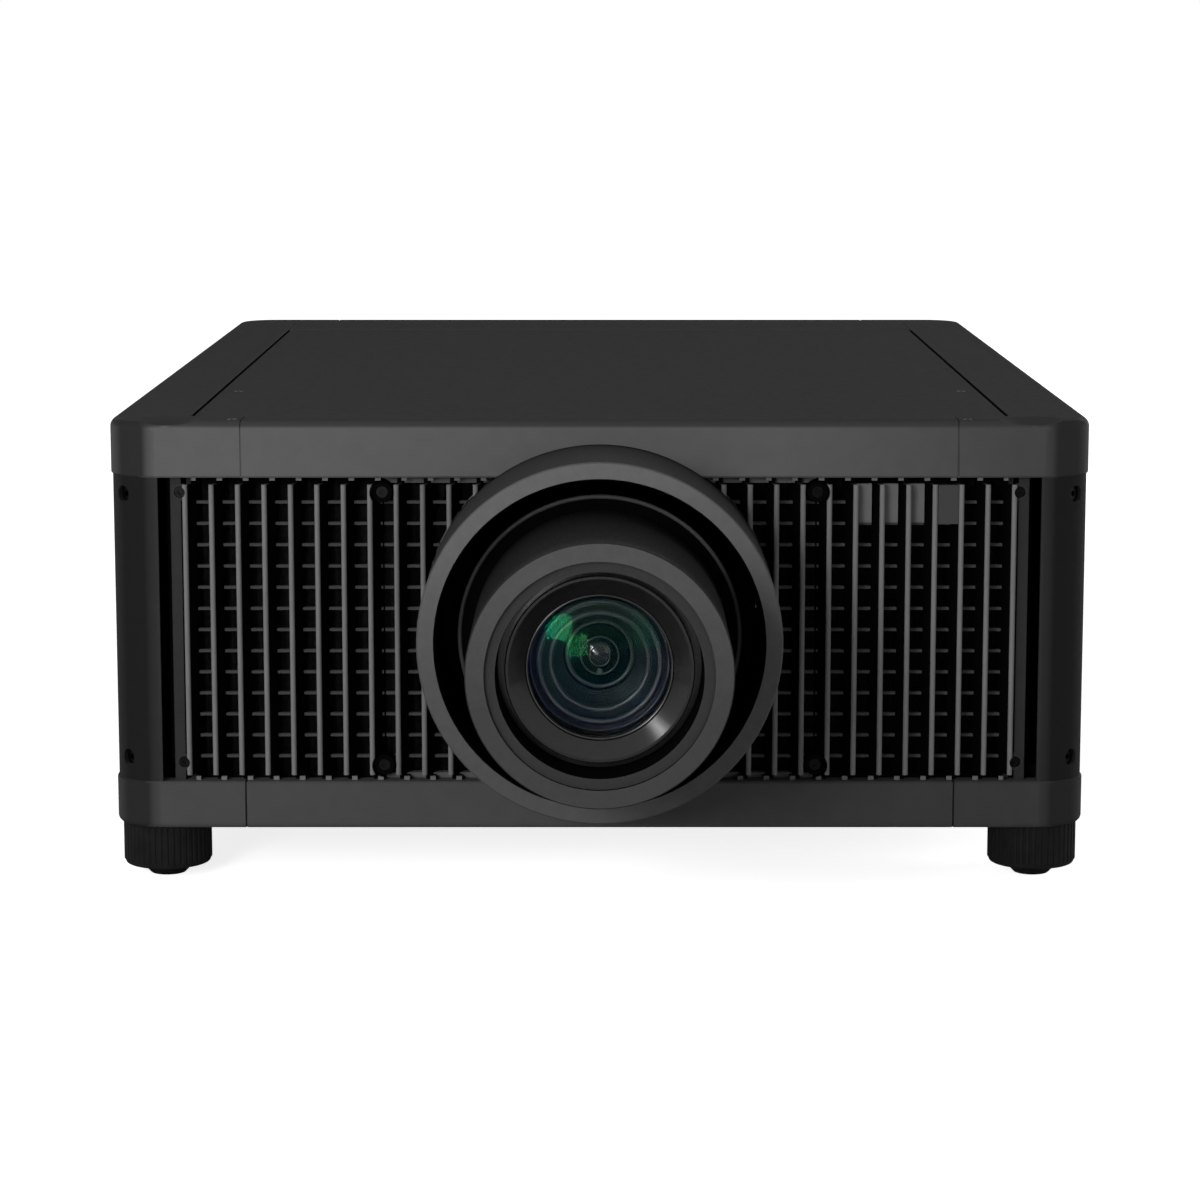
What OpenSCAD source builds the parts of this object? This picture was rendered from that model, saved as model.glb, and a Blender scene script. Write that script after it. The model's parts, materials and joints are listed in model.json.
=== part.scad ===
// Large home projector: a wide flat case with louvred air intakes and a big shifting zoom lens.
// Units are millimetres, +Z is up and the lens looks along -Y.

/* [Case] */
// Width of the case across its sides
body_w = 560; // [540:5:620]
// Depth of the case from the front bars to the back
body_d = 760; // [720:5:860]
// Height of the case without its feet
body_h = 235.5; // [232:0.5:256]
// Plan radius of the case corners
corner_r = 28; // [24:1:32]
// Thickness of the case walls
wall_t = 3; // [2:0.5:4]
// Height of the top bars
top_bar_h = 32.6; // [28:0.2:38]
// Height of the bottom bars
bottom_bar_h = 27.4; // [24:0.2:32]
// Rounding of the top edges
top_edge_r = 5.5; // [4:0.5:7]
// Rounding of the bottom edges
bottom_edge_r = 3.5; // [2:0.5:5]
// Depth of the lips that turn inwards along the bars
lip_d = 12; // [10:1:16]
// Depth of the front and rear top bars
bar_d = 25; // [20:1:32]
// Width of the top side rails
rail_w = 46; // [42:1:54]
// Width of the groove between rail and top cover
groove_w = 2.4; // [1:0.2:3]
// Width of the ledge that the top cover rests on
ledge_w = 9; // [6:1:14]
// Distance of the bar seams from the middle
seam_x = 203; // [190:1:215]
// Width of the bar seams
seam_gap = 1; // [0.6:0.1:1.6]
// Depth of the fixed deck behind the top cover
deck_d = 102; // [80:1:130]
// How far the columns sit inside the bars
column_inset = 1; // [0.5:0.25:2]
// Width of a column seen from the front
column_w = 28.4; // [27:0.2:32]
// Depth of a column seen from the side
column_d = 44; // [38:1:60]
// How far the rear panel sits inside the bars
rear_inset = 4; // [3:0.5:6]
// Radius of the dished spots on the top corners
dish_r = 19.5; // [15:0.5:21]
// Depth of the dished spots
dish_depth = 3; // [1.5:0.25:3.5]

/* [Front grille] */
// Distance between neighbouring blades
blade_pitch = 15; // [13:0.5:18]
// Width of a blade's front edge
blade_w = 3; // [2.4:0.2:4]
// Thickness of a blade's back edge
blade_t = 2; // [1.6:0.2:2.4]
// Depth of a blade from front to back
blade_d = 15; // [13:0.5:17]
// Lean of the blades towards the middle
blade_lean = 22; // [12:1:22]
// How far the blades sit behind the bars
blade_inset = 3; // [2:0.5:4]
// Gap under a blade's front edge
blade_foot_gap = 3.2; // [2.4:0.2:5]
// Gap above a blade's front edge
blade_head_gap = 4.4; // [3:0.2:6]
// Distance between neighbouring cross bars
cross_pitch = 12.3; // [10:0.1:16]
// Thickness of a cross bar
cross_t = 1.7; // [1.2:0.1:2.5]
// Width of the upright edge strip
strip_w = 6; // [5:0.5:8]
// Open gap between column and edge strip
strip_gap = 6.6; // [5:0.2:8]
// Width of the middle grille panel
centre_w = 246; // [240:2:252]
// Radius of the round ears of the middle panel
ear_r = 5.8; // [5:0.2:6.6]
// Height of the signal windows
window_h = 22.3; // [18:0.1:26]

/* [Lens] */
// How far the lens axis sits above the middle of the case height
lens_rise = 3.35; // [0:0.05:5]
// Height of case left above the fixed lens shroud
shroud_room = 14.1; // [12:0.1:18]
// Wall of the fixed lens shroud
shroud_t = 10; // [8:0.5:10]
// How far the shroud stands out of the case
shroud_out = 82; // [60:1:110]
// Open gap between the shroud and the lens housing
housing_gap = 11.5; // [9:0.5:14]
// How far the lens housing stands out of the case
housing_out = 51.6; // [35:0.2:58]
// Step from the lens housing down to the front barrel
barrel_step = 8.6; // [6:0.1:10]
// How far the front barrel stands out of the case
barrel_out = 181; // [165:1:200]
// Width of the flat front ring of the barrel
front_ring_w = 10; // [8:0.5:12]
// Width of the sunken second ring of the barrel
inner_ring_w = 5.7; // [4:0.1:7]
// How deep the second ring is sunk
inner_ring_step = 2.5; // [1.5:0.25:4]
// Step from the front barrel down to the rear barrel that carries the gear rings
rear_step = 10.2; // [8:0.1:12]
// Distance from the barrel front to the focus cell
cell_set = 21; // [18:0.5:26]
// Step from the bore down to the lip of the focus cell
cell_lip_step = 4.1; // [2.5:0.1:6]
// Width of the sloping mouth round the front lens
mouth_w = 10.7; // [8:0.1:13]
// Travel of the focus cell each way
focus_travel = 3; // [1:0.5:4]
// Travel of the zoom cell
zoom_travel = 14; // [8:1:20]
// Sideways lens shift each way
shift_x = 5; // [2:0.5:5.5]
// Upward and downward lens shift each way
shift_z = 7.5; // [4:0.5:7.5]

/* [Lens drives] */
// Distance from the rear barrel to the pitch circle of the lens rings
ring_wall = 4; // [3.6:0.1:5]
// Teeth of a lens ring
ring_teeth = 64; // [64:8:72]
// Teeth of a motor pinion
pinion_teeth = 12; // [12:1:14]
// Radius of the guide rods
rod_r = 5; // [4:0.5:6]
// Radius of the lead screws
screw_r = 4; // [3:0.5:4.5]
// Radius of the drive motors
motor_r = 10; // [8:0.5:11]

/* [Feet] */
// Height of the case above the ground with the feet screwed in
foot_h = 32; // [28:1:38]
// Distance of the feet from the sides of the case
foot_in = 28; // [27:1:40]
// Distance of the feet from the front and the back
foot_y = 30; // [28:1:60]
// Radius of the foot knobs
knob_r = 25.5; // [22:0.5:27]
// Number of grooves round a knob
knob_grooves = 44; // [36:1:56]
// Radius of the foot pads
pad_r = 12; // [10:0.5:15]
// Height of the pad below its knob
pad_h = 6; // [4:0.5:8]
// Travel of a foot
foot_travel = 12; // [6:1:14]
// Radius of the foot studs
stud_r = 5; // [4:0.5:6]

/* [Rear] */
// Distance between neighbouring vent slots
slot_pitch = 11; // [9:0.5:14]
// Height of a vent slot
slot_h = 5; // [4:0.5:7]
// Width of a control key
key_w = 14; // [10:0.5:16]
// Height of a control key
key_h = 9; // [6:0.5:11]
// Travel of a control key
key_travel = 1; // [0.6:0.1:1.2]
// How far a fully pressed key still stands out of the rear panel
key_rest = 0.6; // [0.4:0.1:1]

/* [Mounting] */
// Sideways distance between the ceiling bracket holes
bracket_x = 300; // [240:10:340]
// Lengthways distance between the ceiling bracket holes
bracket_y = 360; // [300:10:400]
// Radius of the ceiling bracket holes
bracket_r = 2.5; // [2:0.1:4]

/* [Clearances] */
// Radial clearance of a shaft or rod in its bore
run_fit = 0.08; // [0.05:0.01:0.1]
// Gap between parts that must not touch
free_gap = 0.4; // [0.3:0.1:0.6]

/* [Hidden] */
$fn = 96;
eps = 0.5;                                   // overshoot of a cut past the face that it opens
edge_c = 1;                                  // small bevel on bar edges
half_w = body_w / 2;
front_y = -(body_d - barrel_out) / 2;        // front plane, with the whole object centred on the origin
lens_h = body_h / 2 + lens_rise;             // lens axis above the bottom of the case
shroud_r = body_h - lens_h - shroud_room;
housing_r = shroud_r - shroud_t - housing_gap;
barrel_r = housing_r - barrel_step;
rear_barrel_r = barrel_r - rear_step;
foot_x = half_w - foot_in;
key_out = key_travel + key_rest;
open_z0 = bottom_bar_h;                      // the openings between bottom and top bars
open_z1 = body_h - top_bar_h;
open_h = open_z1 - open_z0;
floor_z = 2 * wall_t;                        // upper face of the base plate
column_x = half_w - column_inset - column_w; // inner edge of a column
strip_x = column_x - strip_gap;              // outer edge of a side grille
blade_x0 = strip_x - strip_w - blade_w / 2 - 1;
blade_back = blade_inset + blade_d;
blade_z0 = open_z0 + blade_foot_gap;
blade_z1 = open_z1 - blade_head_gap;
panel_x = centre_w / 2 + seam_gap;           // inner edge of a side grille
side_blades = floor((blade_x0 - panel_x - ear_r) / blade_pitch);
blade_c0 = (centre_w - blade_pitch) / 2;     // outermost blade of the middle panel
centre_blades = floor((blade_c0 - 0.66 * shroud_r) / blade_pitch);
crosses = floor((open_h - 10) / cross_pitch);
ear_x = centre_w / 2 + 0.7;
ear_z = [open_z0 + 8.7, open_z1 - 8.9];      // heights of the upper and lower grille screws
strip_ear_z = [open_z0 + 10.4, open_z1 - 8.9];
strip_ear_x = strip_x - 5.5;
strip_ear_r = 5;
grille_screw_r = 2.6;
shroud_cut_r = shroud_r + 0.5;
bore_r = barrel_r - front_ring_w - inner_ring_w - 0.4;
cell_r = bore_r - free_gap;
cell_lip_r = bore_r - cell_lip_step;
aperture_r = cell_lip_r - mouth_w;
cell_s = cell_set - barrel_out;              // front of the focus cell along the lens axis
carriage_s = 62;                             // front face of the sideways carriage along the lens axis
carriage_t = 6;
rod_sleeve_r = rod_r + 4;
lift_s = carriage_s + carriage_t / 2 + rod_sleeve_r + 1.5; // front face of the lifting carriage
lift_mid = lift_s + carriage_t / 2;
frame_s = lift_mid + max(motor_r, rod_sleeve_r) + 1.5; // front face of the fixed lens frame
frame_t = 8;
focus_gear_s = frame_s + frame_t + 8;
zoom_gear_s = focus_gear_s + 22;
gear_t = 10;
rear_s = zoom_gear_s + gear_t + 16;          // rear flange of the barrel
ring_pitch_r = rear_barrel_r + ring_wall;
gear_module = 2 * ring_pitch_r / ring_teeth;
pinion_pitch_r = gear_module * pinion_teeth / 2;
gear_gap = 0.15;
pinion_shaft_r = 2.5;
pinion_at = ring_pitch_r + pinion_pitch_r + gear_gap;
rear_flange_r = pinion_at + motor_r + 3.85;
housing_flange_r = housing_r + 3;
carriage_z = housing_flange_r + 0.2;         // half height of the sideways carriage
carriage_x = carriage_z + 18;
rod_z = carriage_z + rod_r + 1;
lift_x = carriage_x + shift_x + 23;          // half width of the lifting carriage
lift_rod_x = lift_x + rod_sleeve_r + 5;
lift_screw_x = lift_rod_x + motor_r + 13;
sleeve_z = rod_z - 43;                       // middle of the sleeves on the upright rods
lift_motor_z = rod_z - 30;                   // lower face of the lifting motor
frame_top = rod_z + 10;
frame_nut = 4;                               // half height of the lift nut on the lens frame
frame_x = lift_screw_x + 7;
nose_s = carriage_s - 8;                     // axis of the sideways lead screw
fan_s = blade_back + 5;
fan_d = 16;
fan_side = 40;                               // room between an intake fan and the side of the case
fan_r = (half_w - shroud_r - fan_side - 31.7) / 2;
fan_x = half_w - fan_side - fan_r;
fan_z = body_h / 2;
hub_r = 19;
fan_frame_x = shroud_r - 40.3;               // inner end of the cross bars of the intake fans
exhaust_r = 72;
exhaust_x = 103 + exhaust_r - half_w;
vent_x = exhaust_r + 23;                     // half width of the rear vent slots
exhaust_s = body_d - rear_inset - wall_t - 26;
rear_s0 = body_d - rear_inset - wall_t;      // inner face of the rear panel
knob_top = foot_h - free_gap;
stem_r = 5;
foot_seat_r = stud_r + 6;                    // threaded seat of a foot stud on the base plate
stud_top = foot_h + floor_z + foot_travel + 14;
boss_top = floor_z + 12;
key_row_z = open_z1 - 34;
// Keys as name, column and row
KEYS = [["power_key", 0, 0], ["input_key", 1, 0], ["menu_key", 2, 0],
        ["up_key", 0, 1], ["down_key", 1, 1], ["enter_key", 2, 1]];
rear_screw_in = 12;                          // distance of the rear panel's screws from its edges
port_w = 190;                                // connector block on the rear panel
port_x0 = column_x - rear_screw_in - 8.6 - port_w;
key_x0 = port_x0 + 56;
key_pitch_x = key_w + 16;
key_pitch_z = key_h + 15;
port_h = 34;
port_z0 = open_z0 + 8;
port_d = 16;
inlet_x = 75 - half_w;
inlet_z = open_z0 + 26;
inlet_w = 27;
inlet_h = 20;
inlet_d = 17;
inlet_screw_x = inlet_w / 2 + 6.5;
// Screws on the front corner columns stand on a 45 degree face
column_screw_z = [open_z0 + 12.7, open_z1 - 10.2];
// Small screws on top as distance from the middle and from the front
top_screws = [[seam_x + 5.4, 8.5], [half_w - rail_w - groove_w - 9.8, 174]];

// ---- placing ----

// Case frame: origin at the middle of the front plane, at the bottom of the case
module case_frame() translate([0, front_y, foot_h]) children();

// Lens frame: the case frame raised to the lens axis
module lens_level() case_frame() translate([0, 0, lens_h]) children();

// Turned lens frame: z runs back along the lens axis, y points down
module along_lens() lens_level() rotate([-90, 0, 0]) children();

module both_sides() { children(); mirror([1, 0, 0]) children(); }

// ---- shared shapes ----

// A block between two corners
module block(low, high) translate(low) cube([high[0] - low[0], high[1] - low[1], high[2] - low[2]]);

// A ring round z between two heights
module ring(r_out, r_in, z0, z1) rotate_extrude() translate([r_in, z0]) square([r_out - r_in, z1 - z0]);

// A round bar along Y
module rod_y(r, y0, y1) translate([0, y1, 0]) rotate([90, 0, 0]) cylinder(r = r, h = y1 - y0);

// A round bar along X
module rod_x(r, x0, x1) translate([x0, 0, 0]) rotate([0, 90, 0]) cylinder(r = r, h = x1 - x0);

module rounded_plan(w, d, r) {
    translate([r, 0]) square([w - 2 * r, d]);
    translate([0, r]) square([w, d - 2 * r]);
    for (x = [r, w - r], y = [r, d - r]) translate([x, y]) circle(r);
}

// Outline of the case seen from above, drawn in by a distance
module case_plan(in) translate([in - half_w, in]) rounded_plan(body_w - 2 * in, body_d - 2 * in, corner_r - in);

// A profile swept along X
module run_x(length) rotate([90, 0, 90]) linear_extrude(length) children();

// Right half of a bar profile swept round the case: x of the profile points inwards, y points up
module rim_half() {
    arm = half_w - corner_r - seam_x - seam_gap / 2;
    for (back = [0, 1]) translate([0, back * body_d, 0]) mirror([0, back, 0]) {
        translate([seam_x + seam_gap / 2, 0, 0]) run_x(arm) children();
        translate([half_w - corner_r, corner_r, 0]) rotate([0, 0, -90]) rotate_extrude(angle = 90)
            translate([corner_r, 0]) mirror([1, 0]) children();
    }
    translate([half_w, body_d - corner_r, 0]) mirror([1, 0, 0]) rotate([90, 0, 0])
        linear_extrude(body_d - 2 * corner_r) children();
}

module quarter_round(r, x, y, dy) intersection() {
    translate([x + r, y]) circle(r);
    translate([x, dy > 0 ? y : y - r]) square(r);
}

module top_profile() {
    shoulder = top_bar_h - top_edge_r;
    polygon([[edge_c, 0], [lip_d, 0], [lip_d, wall_t], [wall_t, wall_t], [wall_t, shoulder],
             [0, shoulder], [0, edge_c]]);
    quarter_round(top_edge_r, 0, shoulder, 1);
    translate([top_edge_r, top_bar_h - wall_t]) square([lip_d - top_edge_r, wall_t]);
}

module bottom_profile() {
    polygon([[0, bottom_edge_r], [wall_t, bottom_edge_r], [wall_t, bottom_bar_h - wall_t],
             [lip_d, bottom_bar_h - wall_t], [lip_d, bottom_bar_h], [edge_c, bottom_bar_h],
             [0, bottom_bar_h - edge_c]]);
    quarter_round(bottom_edge_r, 0, bottom_edge_r, -1);
    translate([bottom_edge_r, 0]) square([lip_d - bottom_edge_r, wall_t]);
}

// Involute gear outline with a tooth centred on the x axis
function inv(a) = tan(a) * 180 / PI - a;
function half_tooth(r, base, teeth) = 90 / teeth * 0.86 + inv(20) - inv(acos(base / max(r, base)));
function polar(r, a) = [r * cos(a), r * sin(a)];
function gear_points(teeth, tip, root) =
    let (pitch = gear_module * teeth / 2, base = pitch * cos(20), low = max(root, base),
         steps = [low, (low + pitch) / 2, (pitch + tip) / 2, tip])
    [for (i = [0 : teeth - 1], side = [-1, 1], k = [0 : 4])
        let (j = side < 0 ? k : 4 - k, r = j == 0 ? root : steps[j - 1])
        polar(r, 360 * i / teeth + side * half_tooth(r, base, teeth))];

module gear(teeth) {
    pitch = gear_module * teeth / 2;
    polygon(gear_points(teeth, pitch + 0.75 * gear_module, pitch - 1.1 * gear_module));
}

// ---- case ----

module top_plate(in_x, y0, y1) translate([-in_x, y0, body_h - wall_t]) cube([2 * in_x, y1 - y0, wall_t]);

module screw_seat(r, depth) translate([0, 0, -depth]) cylinder(r = r, h = depth + eps);

cover_x = half_w - rail_w - groove_w;
cover_end = body_d - deck_d;
top_screw_r = 2.9;
top_screw_depth = 1.2;

module top_cover() case_frame() color([0.17, 0.17, 0.17]) difference() {
    top_plate(cover_x, bar_d + seam_gap / 5, cover_end);
    both_sides() translate([top_screws[1][0], top_screws[1][1], body_h])
        screw_seat(top_screw_r + 0.1, top_screw_depth);
}

module foot_places() for (x = [-foot_x, foot_x], y = [foot_y, body_d - foot_y]) translate([x, y, 0]) children();

bracket_places = [for (x = [-1, 1], y = [-1, 1]) [x * bracket_x / 2, body_d / 2 + y * bracket_y / 2, 0]];

module base_plate() case_frame() color([0.3, 0.3, 0.31]) difference() {
    union() {
        translate([0, 0, wall_t]) linear_extrude(wall_t) case_plan(max(wall_t, bottom_edge_r) + free_gap);
        foot_places() translate([0, 0, floor_z - eps]) cylinder(r = foot_seat_r, h = boss_top - floor_z + eps);
        for (p = bracket_places) translate(p) translate([0, 0, floor_z - eps]) cylinder(r = 8, h = 10);
    }
    foot_places() cylinder(r = stud_r + free_gap, h = boss_top + eps);
    for (p = bracket_places) translate(p) cylinder(r = bracket_r, h = floor_z + 8);
}

module shroud_cut() translate([0, 0, lens_h]) rod_y(shroud_cut_r, -eps, bar_d + eps);

module front_bar(z0) difference() {
    translate([seam_gap / 2 - seam_x, 0, z0]) run_x(2 * seam_x - seam_gap) children();
    shroud_cut();
}

module top_front_bar() case_frame() color([0.26, 0.26, 0.26]) {
    front_bar(open_z1) top_profile();
    top_plate(seam_x - seam_gap / 2, lip_d, bar_d);
}

module bottom_front_bar() case_frame() color([0.23, 0.23, 0.23]) front_bar(0) bottom_profile();

module rear_bar(z0) translate([seam_gap / 2 - seam_x, body_d, z0]) mirror([0, 1, 0])
    run_x(2 * seam_x - seam_gap) children();

module top_rear_bar() case_frame() color([0.2, 0.2, 0.2]) {
    rear_bar(open_z1) top_profile();
    top_plate(seam_x - seam_gap / 2, body_d - bar_d, body_d - lip_d);
    top_plate(half_w - rail_w - free_gap, cover_end + seam_gap, body_d - bar_d - seam_gap / 5);
    block([8 - seam_x, body_d - bar_d - 6, body_h - 2 * wall_t],
          [seam_x - 8, body_d - bar_d + 4, body_h - wall_t]);
}

module bottom_rear_bar() case_frame() color([0.2, 0.2, 0.2]) rear_bar(0) bottom_profile();

// Sphere that dishes the top corner just behind the front edge
dish_y = 2.5;
dish_ball_r = (dish_r * dish_r + dish_depth * dish_depth) / (2 * dish_depth);

module top_rail() difference() {
    union() {
        translate([0, 0, open_z1]) rim_half() top_profile();
        translate([0, 0, body_h - wall_t]) linear_extrude(wall_t) intersection() {
            case_plan(top_edge_r);
            union() {
                translate([half_w - rail_w, 0]) square([rail_w, body_d]);
                for (y = [0, body_d - bar_d]) translate([seam_x + seam_gap / 2, y]) square([rail_w + 30, bar_d]);
            }
        }
        // ledge under the edge of the top cover
        block([cover_x - ledge_w, bar_d - 4, body_h - 2 * wall_t],
              [half_w - rail_w + ledge_w, body_d - bar_d + 4, body_h - wall_t]);
        // tongues behind the seams
        for (y = [lip_d + 1, body_d - bar_d]) translate([seam_x - 7, y, body_h - 2 * wall_t])
            cube([22, bar_d - lip_d - 1, wall_t]);
        translate([half_w - corner_r - 6.5, corner_r - 6, body_h - 2 * wall_t - 1])
            cylinder(r = corner_r - 6, h = wall_t + 1);
    }
    translate([half_w - corner_r - 6.5, dish_y, body_h + dish_ball_r - dish_depth]) rotate([90, 0, 0])
        sphere(r = dish_ball_r);
    translate([top_screws[0][0], top_screws[0][1], body_h]) screw_seat(top_screw_r + 0.1, top_screw_depth);
}

module top_rails() case_frame() color([0.2, 0.2, 0.2]) both_sides() top_rail();

module bottom_rails() case_frame() color([0.19, 0.19, 0.19]) both_sides() rim_half() bottom_profile();

// Screw seats on the rounded face of a front column, in the case frame
module column_seats() for (z = column_screw_z)
    translate([half_w - corner_r, corner_r, z]) rotate([0, 0, -45]) rotate([0, 90, 0])
        translate([0, 0, corner_r - column_inset]) children();

module corner_columns() case_frame() color([0.15, 0.15, 0.15]) both_sides() {
    difference() {
        union() {
            translate([0, 0, open_z0]) linear_extrude(open_h) intersection() {
                difference() { case_plan(column_inset); case_plan(column_inset + wall_t); }
                translate([column_x, 0]) square([column_w + 2, column_d]);
            }
            column_seats() translate([0, 0, -10]) cylinder(r = 8, h = 8.5);
        }
        column_seats() translate([0, 0, -5]) cylinder(r = 4.8, h = 10);
    }
    translate([0, 0, open_z0]) linear_extrude(open_h) intersection() {
        difference() { case_plan(column_inset); case_plan(column_inset + wall_t); }
        translate([column_x, body_d - column_d]) square([column_w + 2, column_d]);
    }
}

side_slot_w = body_d / 2 - column_d - 96;     // length of a vent slot in a side panel

module side_panels() case_frame() color([0.16, 0.16, 0.16]) both_sides() difference() {
    block([half_w - column_inset - wall_t, column_d + seam_gap, open_z0],
          [half_w - column_inset, body_d - column_d - seam_gap, open_z1]);
    for (z = [open_z0 + 24 : slot_pitch : open_z1 - 24], y = [column_d + 40, body_d - column_d - 40 - side_slot_w])
        block([half_w - 20, y, z], [half_w, y + side_slot_w, z + slot_h]);
}

// ---- front grille ----

// Blade number k of the right side, counted from the outside
function blade_at(k) = blade_x0 - k * blade_pitch;
lean = blade_d * tan(blade_lean);

nose_y = blade_inset + blade_w / 2;
web_y = nose_y + 4;                          // front of the webs that carry the blades between the bars
tab_h = 2.2;

// Side of a blade at a depth, -1 towards the middle and 1 away from it
function blade_side(x, y, side) =
    let (f = (y - nose_y) / (blade_back - nose_y)) x - f * lean + side * (blade_w * (1 - f) + blade_t * f) / 2;

module blade_plan(x, y) polygon([[blade_side(x, y, -1), y], [blade_side(x, y, 1), y],
                                 [blade_side(x, blade_back, 1), blade_back],
                                 [blade_side(x, blade_back, -1), blade_back]]);

module blade(x) {
    translate([0, 0, blade_z0]) linear_extrude(blade_z1 - blade_z0) {
        translate([x, nose_y]) circle(blade_w / 2);
        blade_plan(x, nose_y);
    }
    translate([0, 0, open_z0]) linear_extrude(open_h) blade_plan(x, web_y);
    for (z = [open_z0, open_z1 - tab_h])
        block([x - lean - 0.2, blade_inset + 2, z], [x - lean + 3, blade_back, z + tab_h]);
}

module crosses(x0, x1) for (j = [1 : crosses])
    block([x0, blade_back - 4, open_z0 + j * cross_pitch - cross_t / 2],
          [x1, blade_back - 1, open_z0 + j * cross_pitch + cross_t / 2]);

module grille_seat(r) rod_y(r, blade_inset - eps, blade_back + eps);

module side_grille() difference() {
    union() {
        for (k = [0 : side_blades]) blade(blade_at(k));
        crosses(panel_x, strip_x - 1);
        block([strip_x - strip_w, blade_inset + 3.5, open_z0], [strip_x, blade_back - 3, open_z1]);
        for (z = strip_ear_z) translate([strip_ear_x, 0, z]) rod_y(strip_ear_r, blade_inset + 3, blade_back - 3);
    }
    for (z = strip_ear_z) translate([strip_ear_x, 0, z]) {
        grille_seat(grille_screw_r);
        rod_y(3.3, blade_inset - eps, blade_inset + 6);
    }
    for (z = ear_z) translate([ear_x, 0, z]) {
        rod_y(ear_r + free_gap, -eps, blade_back - 3 + free_gap);
        rod_y(grille_screw_r + free_gap, blade_inset, blade_back + eps);
    }
}

// Sunken pocket for the receiver window in the right grille
receiver_x = [blade_at(3) + blade_w / 2 + 0.2, blade_at(2) - blade_w / 2 - 0.2];
window_z1 = blade_z1 - 0.2;
window_z0 = window_z1 - window_h;

module grille_right() case_frame() color([0.22, 0.22, 0.22]) difference() {
    side_grille();
    block([receiver_x[0] - 0.1, 0, window_z0 - 0.1], [receiver_x[1] + 0.1, blade_inset + 6.1, window_z1 + 0.1]);
}

module grille_left() case_frame() color([0.22, 0.22, 0.22]) mirror([1, 0, 0]) side_grille();

lug_h = 11;

module grille_centre() case_frame() color([0.22, 0.22, 0.22]) difference() {
    union() {
        both_sides() {
            for (k = [0 : centre_blades]) blade(blade_c0 - k * blade_pitch);
            crosses(shroud_r * 0.6, centre_w / 2);
            for (z = ear_z) translate([ear_x, 0, z]) rod_y(ear_r, blade_inset + 3, blade_back - 3);
            // lugs that carry the ears of the middle panel
            for (z = [open_z0, open_z1 - lug_h])
                block([centre_w / 2 - 3, blade_back - 6, z], [centre_w / 2, blade_back, z + lug_h]);
        }
        block([-centre_w / 2, web_y + 3, blade_z1 + 0.2], [centre_w / 2, blade_back - 2, blade_z1 + 2.8]);
        block([-centre_w / 2, blade_back - 6, open_z0], [centre_w / 2, blade_back, open_z0 + 3]);
    }
    translate([0, 0, lens_h]) rod_y(shroud_cut_r, -eps, blade_back + eps);
    both_sides() for (z = ear_z) translate([ear_x, 0, z]) {
        grille_seat(grille_screw_r);
        rod_y(3.6, blade_inset - eps, blade_inset + 6);
    }
}

window_s = [blade_back - 7.5, blade_back - 4.2]; // front and back of the signal windows, before the cross bars

module signal_windows() case_frame() color([0.6, 0.6, 0.6]) {
    for (k = [4 : 6])
        block([blade_side(blade_at(k), window_s[0], 1) + 0.3, window_s[0], window_z0],
              [blade_side(blade_at(k - 1), window_s[1], -1) - 0.3, window_s[1], window_z1]);
    block([receiver_x[0], blade_inset + 1, window_z0], [receiver_x[1], blade_inset + 6, window_z1]);
}

// ---- rear ----

module key_place(column, row) translate([key_x0 + column * key_pitch_x, 0, key_row_z - row * key_pitch_z]) children();

module rear_panel() case_frame() color([0.17, 0.17, 0.17]) difference() {
    block([-column_x - 1, rear_s0, open_z0], [column_x + 1, rear_s0 + wall_t, open_z1]);
    for (z = [inlet_z + 34 : slot_pitch : open_z1 - 18])
        block([exhaust_x - vent_x, rear_s0 - eps, z], [exhaust_x + vent_x, body_d, z + slot_h]);
    for (k = KEYS) key_place(k[1], k[2])
        block([-key_w / 2 - free_gap, rear_s0 - eps, -key_h / 2 - free_gap],
              [key_w / 2 + free_gap, body_d, key_h / 2 + free_gap]);
    block([port_x0, rear_s0 - eps, port_z0], [port_x0 + port_w, body_d, port_z0 + port_h]);
    block([inlet_x - inlet_w / 2 - 3, rear_s0 - eps, inlet_z - inlet_h / 2 - 3],
          [inlet_x + inlet_w / 2 + 3, body_d, inlet_z + inlet_h / 2 + 3]);
    for (x = [-1, 1], z = [open_z0 + rear_screw_in, open_z1 - rear_screw_in]) translate([x * (column_x - rear_screw_in), 0, z])
        rod_y(2.2, rear_s0 - eps, body_d);
    for (x = [-1, 1]) translate([inlet_x + x * inlet_screw_x, 0, inlet_z]) rod_y(1.9, rear_s0 - eps, body_d);
}

// Mouth sizes of the sockets as x, width, height and tongue thickness
PORTS = [[12, 15.5, 6.5, 1.6], [36, 15.5, 6.5, 1.6], [60, 13.5, 12, 0], [84, 13.5, 6.5, 2], [112, 22, 11, 0]];
jack_r = 3.2;

module connector_ports() case_frame() translate([port_x0, rear_s0 + wall_t - 2, port_z0]) color([0.4, 0.4, 0.42]) {
    difference() {
        block([0, -port_d, 0], [port_w, 0, port_h]);
        for (p = PORTS) block([p[0], -port_d + 3, port_h / 2 - p[2] / 2],
                              [p[0] + p[1], eps, port_h / 2 + p[2] / 2]);
        for (x = [150, 166]) translate([x, 0, port_h / 2]) rod_y(jack_r, -port_d + 3, eps);
    }
    for (p = PORTS) if (p[3] > 0)
        block([p[0] + 2, -port_d + 2, port_h / 2 - p[3] / 2], [p[0] + p[1] - 2, -3, port_h / 2 + p[3] / 2]);
}

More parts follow.
